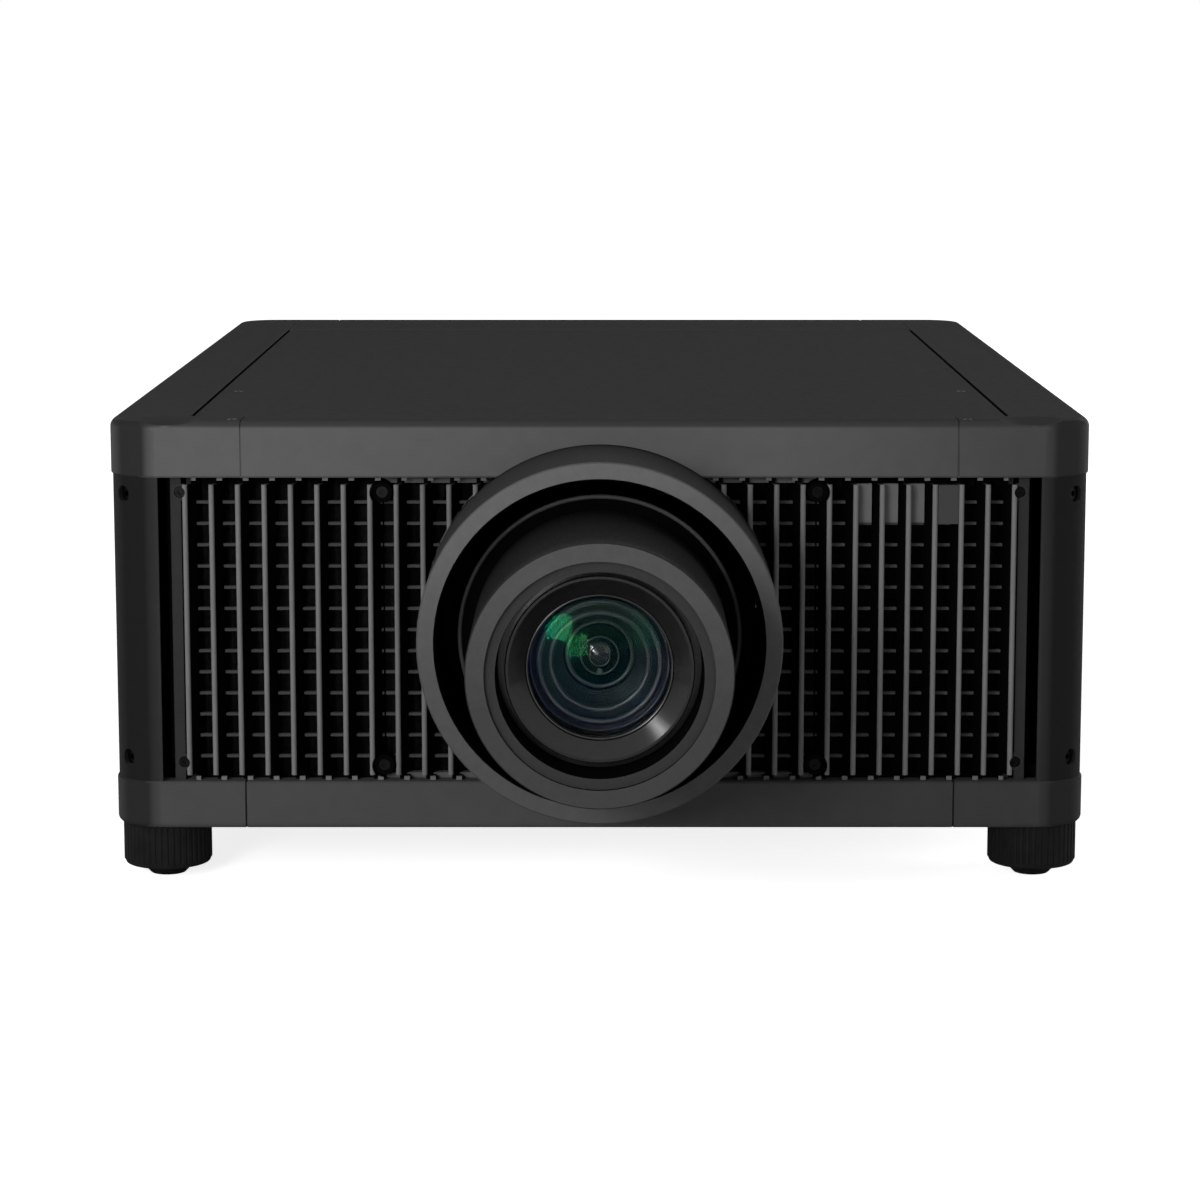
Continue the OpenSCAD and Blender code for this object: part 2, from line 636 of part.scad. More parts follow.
module power_inlet() case_frame() translate([inlet_x, rear_s0 + wall_t, inlet_z]) color([0.12, 0.12, 0.12]) {
    w = inlet_w / 2;
    h = inlet_h / 2;
    difference() {
        union() {
            block([-w - 11, 0, -h - 5], [w + 11, 2, h + 5]);
            block([-w - 2.6, -inlet_d - 3, -h - 2.6], [w + 2.6, eps, h + 2.6]);
        }
        block([-w, -inlet_d, -h], [w, 3, h]);
        for (x = [-1, 1]) translate([x * inlet_screw_x, 0, 0]) rod_y(1.9, -eps, 3);
    }
    for (p = [[0, 4], [-7, -3], [7, -3]])
        block([p[0] - 1, -inlet_d - 1, p[1] - 2], [p[0] + 1, -4, p[1] + 2]);
}

module key(index) {
    k = KEYS[index];
    case_frame() key_place(k[1], k[2]) color([0.25, 0.25, 0.25]) {
        block([-key_w / 2, rear_s0 - 1, -key_h / 2], [key_w / 2, rear_s0 + wall_t + key_out, key_h / 2]);
        block([-key_w / 2 - 2, rear_s0 - 2, -key_h / 2 - 2], [key_w / 2 + 2, rear_s0, key_h / 2 + 2]);
    }
}

module power_key() key(0);
module input_key() key(1);
module menu_key() key(2);
module up_key() key(3);
module down_key() key(4);
module enter_key() key(5);

// A cross-slotted or hexagon-socket screw with its head at z = 0 and its shank below
module screw(head_r, head_h, shank_r, length, socket_r) difference() {
    union() {
        translate([0, 0, -head_h]) cylinder(r = head_r, h = head_h);
        translate([0, 0, -length]) cylinder(r = shank_r, h = length - head_h + eps);
    }
    translate([0, 0, -head_h * 0.6]) cylinder(r = socket_r, h = head_h, $fn = 6);
}

module case_screws() case_frame() color([0.1, 0.1, 0.1]) {
    both_sides() {
        for (p = top_screws) translate([p[0], p[1], body_h - 0.2])
            screw(top_screw_r, top_screw_depth - 0.2, 1.2, top_screw_depth - 0.2, 1.4);
        column_seats() translate([0, 0, -2.5]) screw(4, 2.5, 1.5, 2.5, 1.8);
        for (z = strip_ear_z) translate([strip_ear_x, blade_inset + 3.4, z]) rotate([90, 0, 0])
            screw(3, 2.6, 2.2, 14, 1.4);
        for (z = ear_z) translate([ear_x, blade_inset + 3.4, z]) rotate([90, 0, 0])
            screw(3.3, 2.6, 2.2, 14, 1.5);
        for (z = [open_z0 + rear_screw_in, open_z1 - rear_screw_in]) translate([column_x - rear_screw_in, rear_s0 + wall_t + 2, z])
            rotate([-90, 0, 0]) screw(3.6, 2, 2, 10, 1.5);
    }
    for (x = [-1, 1]) translate([inlet_x + x * inlet_screw_x, rear_s0 + wall_t + 3.6, inlet_z])
        rotate([-90, 0, 0]) screw(3, 1.6, 1.7, 7, 1.3);
}

// ---- feet ----

knob_edge = 1.5;                                // rounding of a knob's lower edge
knob_skirt_r = knob_r - 0.8;                 // plain skirt below the grooves

module knob(x, y) translate([x, front_y + y, 0]) color([0.12, 0.12, 0.12]) difference() {
    union() {
        translate([0, 0, pad_h + 3]) linear_extrude(knob_top - pad_h - 3) difference() {
            circle(knob_r);
            for (i = [1 : knob_grooves]) rotate(360 * i / knob_grooves) translate([knob_r + 0.35, 0]) circle(0.95);
        }
        rotate_extrude() polygon(concat([[0, pad_h + 3.5], [0, pad_h + free_gap]],
            [for (a = [0 : 18 : 90]) [knob_skirt_r - knob_edge + knob_edge * sin(a),
                                      pad_h + free_gap + knob_edge - knob_edge * cos(a)]],
            [[knob_skirt_r, pad_h + 3.5]]));
        translate([0, 0, knob_top - eps]) cylinder(r = stud_r, h = stud_top - knob_top + eps);
    }
    cylinder(r = stem_r + run_fit, h = pad_h + 14);
}

module pad(x, y) translate([x, front_y + y, 0]) color([0.08, 0.08, 0.08]) {
    rotate_extrude() {
        polygon([[0, 0], [pad_r - 2, 0], [pad_r, 2], [pad_r, pad_h], [0, pad_h]]);
        translate([0, pad_h - 1]) square([stem_r, 13]);
    }
}

module front_left_knob() knob(-foot_x, foot_y);
module front_right_knob() knob(foot_x, foot_y);
module rear_left_knob() knob(-foot_x, body_d - foot_y);
module rear_right_knob() knob(foot_x, body_d - foot_y);
module front_left_pad() pad(-foot_x, foot_y);
module front_right_pad() pad(foot_x, foot_y);
module rear_left_pad() pad(-foot_x, body_d - foot_y);
module rear_right_pad() pad(foot_x, body_d - foot_y);

// ---- lens ----

module lens_shroud() along_lens() color([0.24, 0.24, 0.24]) rotate_extrude() {
    polygon([[shroud_r - shroud_t + 0.8, -shroud_out], [shroud_r - 0.8, -shroud_out],
             [shroud_r, 0.8 - shroud_out], [shroud_r, blade_back],
             [shroud_r + 11, blade_back], [shroud_r + 11, blade_back + 4],
             [shroud_r - shroud_t, blade_back + 4], [shroud_r - shroud_t, 0.8 - shroud_out]]);
}

module lens_housing() along_lens() color([0.08, 0.08, 0.08]) rotate_extrude()
    polygon([[barrel_r + 0.1, -housing_out], [housing_r - 0.8, -housing_out],
             [housing_r, 0.8 - housing_out], [housing_r, carriage_s - 6],
             [housing_flange_r, carriage_s - 6], [housing_flange_r, carriage_s],
             [barrel_r + 0.1, carriage_s], [barrel_r + 0.1, carriage_s - 8],
             [housing_r - 3, carriage_s - 8], [housing_r - 3, 6 - housing_out],
             [barrel_r + 0.1, 6 - housing_out]]);

// Places of the two pinion axes round the lens, focus to the right and zoom to the left
module pinion_axis(side) rotate([0, 0, side > 0 ? -45 : -135]) translate([pinion_at, 0, 0]) children();

module lens_barrel() along_lens() color([0.12, 0.12, 0.12]) difference() {
    rotate_extrude() polygon([[barrel_r - front_ring_w, -barrel_out], [barrel_r - 0.6, -barrel_out],
             [barrel_r, 0.6 - barrel_out], [barrel_r, carriage_s], [rear_barrel_r, carriage_s],
             [rear_barrel_r, rear_s], [rear_flange_r, rear_s], [rear_flange_r, rear_s + 4],
             [bore_r, rear_s + 4], [bore_r, inner_ring_step + 4 - barrel_out],
             [bore_r + 0.4, inner_ring_step - barrel_out],
             [barrel_r - front_ring_w, inner_ring_step - barrel_out]]);
    for (side = [-1, 1]) pinion_axis(side) translate([0, 0, rear_s - eps])
        cylinder(r = pinion_shaft_r + run_fit, h = 5);
}

glass_s = cell_s + 12;                       // rim of the front lens
glass_edge_r = aperture_r + 4;

module focus_cell() along_lens() color([0.1, 0.1, 0.1]) rotate_extrude()
    polygon([[cell_lip_r - 0.6, cell_s], [cell_lip_r, cell_s + 0.6], [cell_lip_r, cell_s + 9],
             [cell_r, cell_s + 9], [cell_r, cell_s + 50], [glass_edge_r, cell_s + 50],
             [glass_edge_r, glass_s], [aperture_r, glass_s], [aperture_r, cell_s + 7],
             [cell_lip_r - 2, cell_s]]);

// A lens element: rim radius, place and thickness, and the radius and curvature of its domed front
module element(r, s, t, dome, curve) along_lens() rotate_extrude() {
    translate([0, s]) square([r, t]);
    intersection() {
        translate([0, s + sqrt(curve * curve - dome * dome)]) circle(curve);
        translate([0, s - dome]) square([dome, dome + 0.1]);
    }
}

module front_glass() color([0.35, 0.45, 0.42, 0.4]) element(glass_edge_r, glass_s, 10, aperture_r - free_gap, 110);

zoom_s = cell_s + 50 + focus_travel + zoom_travel + 7; // room for both travels behind the focus cell

module zoom_cell() along_lens() color([0.09, 0.09, 0.09])
    ring(cell_r, cell_lip_r - 8, zoom_s, zoom_s + 24);

module zoom_glass() color([0.35, 0.4, 0.5, 0.4]) element(cell_lip_r - 8, zoom_s + 8, 8, cell_lip_r - 9, 90);

module lens_ring(s) along_lens() translate([0, 0, s]) linear_extrude(gear_t) difference() {
    gear(ring_teeth);
    circle(rear_barrel_r + run_fit);
}

module focus_ring() color([0.75, 0.75, 0.7]) lens_ring(focus_gear_s);
module zoom_ring() color([0.75, 0.75, 0.7]) lens_ring(zoom_gear_s);

// Pinion with its motor shaft, to the right or the left above the lens
module pinion(side, s) along_lens() pinion_axis(side) {
    translate([0, 0, s - 1]) linear_extrude(gear_t + 2) rotate(180 + 180 / pinion_teeth) gear(pinion_teeth);
    translate([0, 0, s + gear_t]) cylinder(r = pinion_shaft_r, h = rear_s + 10 - s - gear_t);
}

module focus_pinion() color([0.8, 0.7, 0.4]) pinion(1, focus_gear_s);
module zoom_pinion() color([0.8, 0.7, 0.4]) pinion(-1, zoom_gear_s);

module lens_motors() along_lens() color([0.5, 0.5, 0.52]) for (side = [-1, 1]) pinion_axis(side) difference() {
    translate([0, 0, rear_s + 4]) cylinder(r = motor_r + 2, h = 26);
    translate([0, 0, rear_s]) cylinder(r = pinion_shaft_r + run_fit, h = 14);
}

// ---- lens shift ----

module shift_carriage() lens_level() color([0.55, 0.55, 0.57]) difference() {
    union() {
        block([-carriage_x, carriage_s, -carriage_z], [carriage_x, carriage_s + carriage_t, carriage_z]);
        for (m = [-1, 1], x = [-60, 60]) translate([0, carriage_s + carriage_t / 2, m * rod_z])
            rod_x(rod_sleeve_r, x - 20, x + 20);
        block([carriage_x - 4, nose_s - 8, -9], [carriage_x + 8, carriage_s + carriage_t, 9]);
    }
    rod_y(rear_barrel_r + 0.1, carriage_s - eps, carriage_s + carriage_t + eps);
    for (m = [-1, 1]) translate([0, carriage_s + carriage_t / 2, m * rod_z])
        rod_x(rod_r + run_fit, -carriage_x, carriage_x);
    translate([0, nose_s, 0]) rod_x(screw_r + run_fit, carriage_x - 10, carriage_x + 12);
}

module lift_carriage() lens_level() color([0.5, 0.5, 0.53]) {
    rod_mid = carriage_s + carriage_t / 2;
    difference() {
        union() {
            block([-lift_x, lift_s, -rod_z - 8], [lift_x, lift_s + carriage_t, rod_z + 8]);
            both_sides() for (m = [-1, 1]) {
                block([lift_x - 12, carriage_s - 4, m * rod_z - 8], [lift_x - 4, lift_s + 1, m * rod_z + 8]);
                block([lift_x - 2, lift_s, m * sleeve_z - 15],
                      [lift_rod_x, lift_s + carriage_t, m * sleeve_z + 15]);
                translate([lift_rod_x, lift_mid, m * sleeve_z - 15]) cylinder(r = rod_sleeve_r, h = 30);
            }
            // arm that holds the lifting motor
            block([lift_rod_x, lift_s - 4, lift_motor_z - 8],
                  [lift_screw_x + 11, lift_s + carriage_t + 4, lift_motor_z]);
            // arm that holds the sideways motor
            block([lift_x - 2, nose_s - 10, -10], [lift_x + 4, lift_s + carriage_t, 10]);
        }
        rod_y(carriage_z + 1, lift_s - eps, lift_s + carriage_t + eps);
        both_sides() translate([lift_rod_x, lift_mid, -carriage_x])
            cylinder(r = rod_r + run_fit, h = 2 * carriage_x);
        translate([lift_screw_x, lift_mid, lift_motor_z - 18]) cylinder(r = screw_r + run_fit, h = 30);
        translate([0, nose_s, 0]) rod_x(screw_r + run_fit, lift_x - 6, lift_x + 10);
    }
    for (m = [-1, 1]) translate([0, rod_mid, m * rod_z]) rod_x(rod_r, 6 - lift_x, lift_x - 6);
}

module shift_motors() lens_level() color([0.45, 0.45, 0.47]) {
    translate([lift_screw_x, lift_mid, lift_motor_z]) difference() {
        cylinder(r = motor_r, h = 30);
        translate([0, 0, -eps]) cylinder(r = screw_r + run_fit, h = 12);
    }
    translate([0, nose_s, 0]) difference() {
        rod_x(motor_r, lift_x + 4, lift_x + 30);
        rod_x(screw_r + run_fit, lift_x, lift_x + 14);
    }
}

module lift_screw() lens_level() color([0.75, 0.75, 0.77])
    translate([lift_screw_x, lift_mid, -frame_nut - 2 * shift_z - 5])
        cylinder(r = screw_r, h = lift_motor_z + frame_nut + 2 * shift_z + 15);

module shift_screw() lens_level() color([0.75, 0.75, 0.77]) translate([0, nose_s, 0])
    rod_x(screw_r, carriage_x - 9, lift_x + 13);

module lens_frame() lens_level() color([0.42, 0.42, 0.44]) {
    difference() {
        union() {
            block([-frame_x, frame_s, floor_z - lens_h], [frame_x, frame_s + frame_t, frame_top]);
            both_sides() for (z = [-frame_top, frame_top - 6])
                block([lift_rod_x - 8, lift_s - 4, z], [lift_rod_x + 8, frame_s + 1, z + 6]);
            block([lift_screw_x - 9, lift_s - 6, -frame_nut], [lift_screw_x + 9, frame_s + 1, frame_nut]);
            both_sides() block([frame_x - 30, frame_s, floor_z - lens_h],
                               [frame_x, frame_s + 40, floor_z - lens_h + 6]);
        }
        rod_y(carriage_z + shift_x, frame_s - eps, frame_s + frame_t + eps);
        translate([lift_screw_x, lift_mid, -10]) cylinder(r = screw_r + run_fit, h = 20);
    }
    both_sides() translate([lift_rod_x, lift_mid, 3 - frame_top]) cylinder(r = rod_r, h = 2 * frame_top - 6);
}

// ---- inside ----

engine_s = rear_s + 44;                      // front wall of the optical engine
engine_left = 60;                            // reach of the engine to the left of the lens axis
engine_w = 170;
engine_d = 190;
engine_wall = 5;
engine_z0 = lens_h - 50;
engine_z1 = lens_h + 48;
leg_w = 16;
light_r = 30;                                // opening from the engine to the lens
light_port = 40;                             // width and height of the light inlet
light_y = engine_s + 130;                    // middle of the light inlet
prism_w = 48;
panel_w = 36;                                // imaging panels on the prism
panel_t = 7;
laser_w = 134;
laser_d = 140;
laser_wall = 4;
laser_gap = 6;                               // space between laser unit and engine
laser_x1 = -engine_left - laser_gap;
laser_z1 = lens_h + 30;
sink_base = 8;
sink_d = 110;
sink_fin_t = 2;
sink_pitch = 11;
sink_z1 = lens_h + 60;
supply_x = 70;
supply_w = 160;
supply_d = 240;
supply_h = 78;
supply_back = 60;                            // space between power supply and the back of the case
supply_wall = 2;
supply_z = floor_z + 12;                     // the power supply stands clear of the bracket seats
supply_slot_pitch = 14;
supply_slot_w = 6;
board_x = -160;
board_w = 330;
board_d = 330;
board_t = 1.6;
board_z = engine_z1 + 12;
jack_w = 16;
jack_pitch = 30;

module optical_engine() case_frame() color([0.5, 0.5, 0.52]) difference() {
    union() {
        block([-engine_left, engine_s, engine_z0], [engine_w - engine_left, engine_s + engine_d, engine_z1]);
        for (x = [-engine_left, engine_w - engine_left - leg_w], y = [engine_s, engine_s + engine_d - leg_w])
            block([x, y, floor_z], [x + leg_w, y + leg_w, engine_z0 + 1]);
    }
    block([engine_wall - engine_left, engine_s + engine_wall, engine_z0 + engine_wall],
          [engine_w - engine_left - engine_wall, engine_s + engine_d - engine_wall, engine_z1 + eps]);
    translate([0, 0, lens_h]) rod_y(light_r, engine_s - eps, engine_s + engine_wall + 1);
    block([-engine_left - eps, light_y - light_port / 2, lens_h - light_port / 2],
          [engine_wall + 1 - engine_left, light_y + light_port / 2, lens_h + light_port / 2]);
}

module prism_block() case_frame() translate([0, engine_s + 12, lens_h]) color([0.6, 0.7, 0.75]) {
    block([-prism_w / 2, 0, -prism_w / 2], [prism_w / 2, prism_w, prism_w / 2]);
    block([-14, 4, engine_z0 + engine_wall - lens_h], [14, prism_w - 4, -prism_w / 2]);
    for (x = [-prism_w / 2 - panel_t, prism_w / 2])
        block([x, (prism_w - panel_w) / 2, -panel_w / 2], [x + panel_t, (prism_w + panel_w) / 2, panel_w / 2]);
    block([-panel_w / 2, prism_w, -panel_w / 2], [panel_w / 2, prism_w + panel_t, panel_w / 2]);
}

module laser_module() case_frame() color([0.45, 0.42, 0.4]) difference() {
    union() {
        block([laser_x1 - laser_w, light_y - laser_d / 2, floor_z], [laser_x1, light_y + laser_d / 2, laser_z1]);
        block([laser_x1, light_y - 18, lens_h - 18], [-engine_left, light_y + 18, lens_h + 18]);
    }
    block([laser_x1 - laser_w + laser_wall, light_y - laser_d / 2 + laser_wall, floor_z + laser_wall],
          [laser_x1 - laser_wall, light_y + laser_d / 2 - laser_wall, laser_z1 + eps]);
    translate([0, light_y, lens_h]) rod_x(14, laser_x1 - 14, -engine_left + 10);
}

module heat_sink() case_frame() translate([laser_x1 - laser_w, light_y + laser_d / 2 + 4, 0])
    color([0.62, 0.62, 0.64]) {
    block([0, 0, floor_z], [laser_w, sink_base, sink_z1]);
    for (x = [0 : sink_pitch : laser_w - sink_fin_t])
        block([x, sink_base - 1, floor_z], [x + sink_fin_t, sink_d, sink_z1]);
}

module power_supply() case_frame() translate([supply_x, body_d - supply_back - supply_d, supply_z])
    color([0.6, 0.6, 0.6]) difference() {
    union() {
        cube([supply_w, supply_d, supply_h]);
        for (x = [0, supply_w - 12], y = [0, supply_d - 12])
            translate([x, y, floor_z - supply_z]) cube([12, 12, supply_z - floor_z + 1]);
    }
    block([supply_wall, supply_wall, supply_wall], [supply_w - supply_wall, supply_d - supply_wall, supply_h + eps]);
    for (x = [16 : supply_slot_pitch : supply_w - 18])
        block([x, supply_d - 10, 10], [x + supply_slot_w, supply_d + 2, supply_h - 12]);
}

// Chips on the board as left edge, front edge and side length
CHIPS = [[140, 60, 46], [230, 90, 38], [70, 160, 30], [200, 210, 40], [270, 260, 24]];

module main_board() case_frame() translate([board_x, engine_s + 6, board_z]) color([0.1, 0.3, 0.18]) {
    cube([board_w, board_d, board_t]);
    for (c = CHIPS) translate([c[0], c[1], board_t - 0.2]) cube([c[2], c[2], 3.6]);
    for (x = [20 : jack_pitch : 20 + 4 * jack_pitch])
        translate([x, board_d - 20, board_t - 0.2]) cube([jack_w, jack_w, 7.6]);
    for (x = [2 - engine_left, engine_w - engine_left - 10], y = [0, engine_d - 18])
        translate([x + 5 - board_x, y, engine_z1 - board_z]) cylinder(r = 3, h = board_z - engine_z1 + 0.2);
}

module fan_shape(r, y0) translate([0, y0, 0]) {
    rod_y(hub_r, 0, fan_d - 2);
    for (i = [0 : 6]) rotate([0, i * 360 / 7, 0]) translate([0, (fan_d - 2) / 2, 0]) rotate([0, 0, 35])
        block([-8, -1, hub_r - 2], [8, 1, r - 3]);
}

module fan_place(side) case_frame() translate([side * fan_x, 0, fan_z]) children();
module exhaust_place() case_frame() translate([exhaust_x, 0, fan_z]) children();

module left_intake_fan() fan_place(-1) color([0.1, 0.1, 0.1]) fan_shape(fan_r, fan_s + 1);
module right_intake_fan() fan_place(1) color([0.1, 0.1, 0.1]) fan_shape(fan_r, fan_s + 1);
module exhaust_fan() exhaust_place() color([0.1, 0.1, 0.1]) fan_shape(exhaust_r, exhaust_s + 3);

// Cross bars behind a rotor that hold its hub
module fan_spider(r, y0) {
    rod_y(hub_r - 1, y0, y0 + 3);
    for (a = [45, 135]) rotate([0, a, 0]) block([-3, y0, -r - 2], [3, y0 + 3, r + 2]);
}

module fan_frames() case_frame() color([0.05, 0.05, 0.05]) {
    top = body_h - wall_t * 2 - 4;
    back = fan_s + fan_d;
    both_sides() {
        difference() {
            block([fan_frame_x, fan_s, floor_z], [strip_x + 4, back, top]);
            translate([fan_x, 0, fan_z]) rod_y(fan_r, fan_s - eps, back + eps);
            translate([0, 0, lens_h]) rod_y(shroud_r + 12, fan_s - eps, back + eps);
            block([fan_frame_x - 6, fan_s + 2, 0], [fan_x - fan_r - 5, back + 1, body_h]);
            translate([foot_x, foot_y, 0]) cylinder(r = foot_seat_r + free_gap, h = stud_top - foot_h + 2);
        }
        translate([fan_x, 0, fan_z]) fan_spider(fan_r, back);
    }
    difference() {
        block([exhaust_x - exhaust_r - 6, exhaust_s, floor_z], [exhaust_x + exhaust_r + 6, exhaust_s + fan_d + 2, top]);
        translate([exhaust_x, 0, fan_z]) rod_y(exhaust_r, exhaust_s - eps, exhaust_s + fan_d + 3);
    }
    translate([exhaust_x, 0, fan_z]) fan_spider(exhaust_r, exhaust_s - 3);
}

top_cover();
base_plate();
top_front_bar();
top_rear_bar();
top_rails();
bottom_front_bar();
bottom_rear_bar();
bottom_rails();
corner_columns();
grille_left();
grille_centre();
grille_right();
lens_shroud();
signal_windows();
side_panels();
rear_panel();
connector_ports();
power_inlet();
case_screws();
front_left_knob();
front_right_knob();
rear_left_knob();
rear_right_knob();
front_left_pad();
front_right_pad();
rear_left_pad();
rear_right_pad();
lens_barrel();
lens_housing();
focus_cell();
front_glass();
focus_ring();
zoom_ring();
zoom_cell();
zoom_glass();
lens_motors();
focus_pinion();
zoom_pinion();
lens_frame();
lift_carriage();
shift_carriage();
shift_motors();
lift_screw();
shift_screw();
optical_engine();
prism_block();
laser_module();
heat_sink();
power_supply();
main_board();
fan_frames();
left_intake_fan();
right_intake_fan();
exhaust_fan();
power_key();
input_key();
menu_key();
up_key();
down_key();
enter_key();
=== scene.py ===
"""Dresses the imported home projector: camera, light, materials, and the pieces too thin to be CAD solids."""

import json
import math

import bmesh
import bpy
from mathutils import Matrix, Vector


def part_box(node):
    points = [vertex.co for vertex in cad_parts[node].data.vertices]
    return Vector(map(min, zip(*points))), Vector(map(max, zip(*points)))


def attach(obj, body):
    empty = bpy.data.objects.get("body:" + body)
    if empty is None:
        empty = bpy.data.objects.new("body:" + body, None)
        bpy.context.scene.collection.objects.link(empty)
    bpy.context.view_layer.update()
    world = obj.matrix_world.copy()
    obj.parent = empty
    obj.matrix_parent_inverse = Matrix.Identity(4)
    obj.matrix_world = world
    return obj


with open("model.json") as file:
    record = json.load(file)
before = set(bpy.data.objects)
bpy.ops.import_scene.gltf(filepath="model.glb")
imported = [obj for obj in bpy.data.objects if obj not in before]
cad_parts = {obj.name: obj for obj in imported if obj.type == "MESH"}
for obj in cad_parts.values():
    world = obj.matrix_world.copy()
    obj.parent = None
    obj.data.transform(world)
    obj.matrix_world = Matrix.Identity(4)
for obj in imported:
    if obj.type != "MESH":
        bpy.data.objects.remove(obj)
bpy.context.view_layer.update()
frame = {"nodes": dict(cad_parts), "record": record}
nodes = frame["nodes"]

MM = 0.001
FRONT_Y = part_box("top_front_bar")[0].y              # front plane of the case
shroud_lo, shroud_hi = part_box("lens_shroud")
AXIS_Z = (shroud_lo.z + shroud_hi.z) / 2            # height of the lens axis
grille_lo, grille_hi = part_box("grille_left")
panels_lo, panels_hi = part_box("side_panels")
ports_lo, ports_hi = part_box("connector_ports")
PORTS_Z = (ports_lo.z + ports_hi.z) / 2             # height of the row of sockets


# ---- shader node helpers ----

def cleared(block):
    """The emptied node tree of a material or a world."""
    block.use_nodes = True
    block.node_tree.nodes.clear()
    return block.node_tree


def math_node(tree, operation, *values):
    node = tree.nodes.new("ShaderNodeMath")
    node.operation = operation
    for socket, value in zip(node.inputs, values):
        if isinstance(value, (int, float)):
            socket.default_value = value
        else:
            tree.links.new(value, socket)
    return node.outputs[0]


def both(tree, first, second):
    """The product of two masks or numbers."""
    return math_node(tree, "MULTIPLY", first, second)


def distance(tree, across, up):
    return math_node(tree, "SQRT", math_node(tree, "ADD", both(tree, across, across), both(tree, up, up)))


def ramp_to(tree, value, low, high, low_out=0.0, high_out=1.0):
    """A value that runs from low to high, mapped to low_out to high_out and held beyond them."""
    span = tree.nodes.new("ShaderNodeMapRange")
    for key, number in (("From Min", low), ("From Max", high), ("To Min", low_out), ("To Max", high_out)):
        span.inputs[key].default_value = number
    tree.links.new(value, span.inputs["Value"])
    return span.outputs["Result"]


def mix_shader(tree, factor, first, second):
    mix = tree.nodes.new("ShaderNodeMixShader")
    for socket, source in zip(mix.inputs, (factor, first, second)):
        tree.links.new(source, socket)
    return mix.outputs[0]


# ---- camera, light and floor ----

CAMERA_X = 0.00016
CAMERA_BACK = 1.94                                  # from the camera to the front plane
CAMERA_HEIGHT = 0.4705
CAMERA_DOWN_DEG = 8.9505
SENSOR_MM = 36
LENS_MM = 103.565
WORLD_LEVEL = 0.12                                  # the world as a light; seen directly or in gloss it is white
FLOOR_REACH = 14
FLOOR_COLOUR = (0.86, 0.86, 0.86, 1)
FRONT_AIM = (0, FRONT_Y + 0.1, 0.15)
REAR_AIM = (0, 0.3, 0.15)
# name, place, aim, width and height, watts
LAMPS = (
    ("key", (-1.7, -2.6, 1.5), FRONT_AIM, (1.1, 0.9), 27),
    ("front", (-0.85, -2.3, 0.62), FRONT_AIM, (0.56, 0.56), 22),
    ("glint", (-1.75, -1.45, 1.5), FRONT_AIM, (0.35, 0.35), 9),
    ("spark", (-0.44, -2.32, 0.25), FRONT_AIM, (0.42, 0.42), 7),
    ("right", (1.5, -2.8, 0.7), FRONT_AIM, (1.3, 1.0), 7),
    ("fill", (3.0, 0.1, 0.8), FRONT_AIM, (1.2, 1.0), 34),
    ("rear", (1.9, 3.0, 0.9), REAR_AIM, (1.4, 1.0), 30),
)
GLOSS_ONLY = ("spark",)                             # reflected in the lens, and no light on matt surfaces


def make_camera():
    data = bpy.data.cameras.new("camera")
    data.sensor_width = SENSOR_MM
    data.lens = LENS_MM
    data.clip_start = 0.05
    data.clip_end = 100
    cam = bpy.data.objects.new("camera", data)
    cam.location = (CAMERA_X, FRONT_Y - CAMERA_BACK, CAMERA_HEIGHT)
    cam.rotation_euler = (math.radians(90 - CAMERA_DOWN_DEG), 0, 0)
    bpy.context.scene.collection.objects.link(cam)
    bpy.context.scene.camera = cam


def softbox(name, place, target, size, power):
    data = bpy.data.lights.new(name, "AREA")
    data.shape = "RECTANGLE"
    data.size, data.size_y = size
    data.energy = power
    lamp = bpy.data.objects.new(name, data)
    lamp.location = place
    lamp.rotation_euler = (Vector(target) - lamp.location).to_track_quat("-Z", "Y").to_euler()
    lamp.visible_camera = False
    lamp.visible_diffuse = name not in GLOSS_ONLY
    bpy.context.scene.collection.objects.link(lamp)


def make_world():
    """White to the camera and in gloss and glass, and dim as a light."""
    world = bpy.data.worlds.new("studio")
    bpy.context.scene.world = world
    tree = cleared(world)
    levels = []
    for strength in (WORLD_LEVEL, 1):
        background = tree.nodes.new("ShaderNodeBackground")
        background.inputs["Color"].default_value = (1, 1, 1, 1)
        background.inputs["Strength"].default_value = strength
        levels.append(background.outputs[0])
    path = tree.nodes.new("ShaderNodeLightPath")
    shiny = math_node(tree, "MAXIMUM", path.outputs["Is Glossy Ray"], path.outputs["Is Transmission Ray"])
    seen = math_node(tree, "MAXIMUM", shiny, path.outputs["Is Camera Ray"])
    out = tree.nodes.new("ShaderNodeOutputWorld")
    tree.links.new(mix_shader(tree, seen, *levels), out.inputs[0])


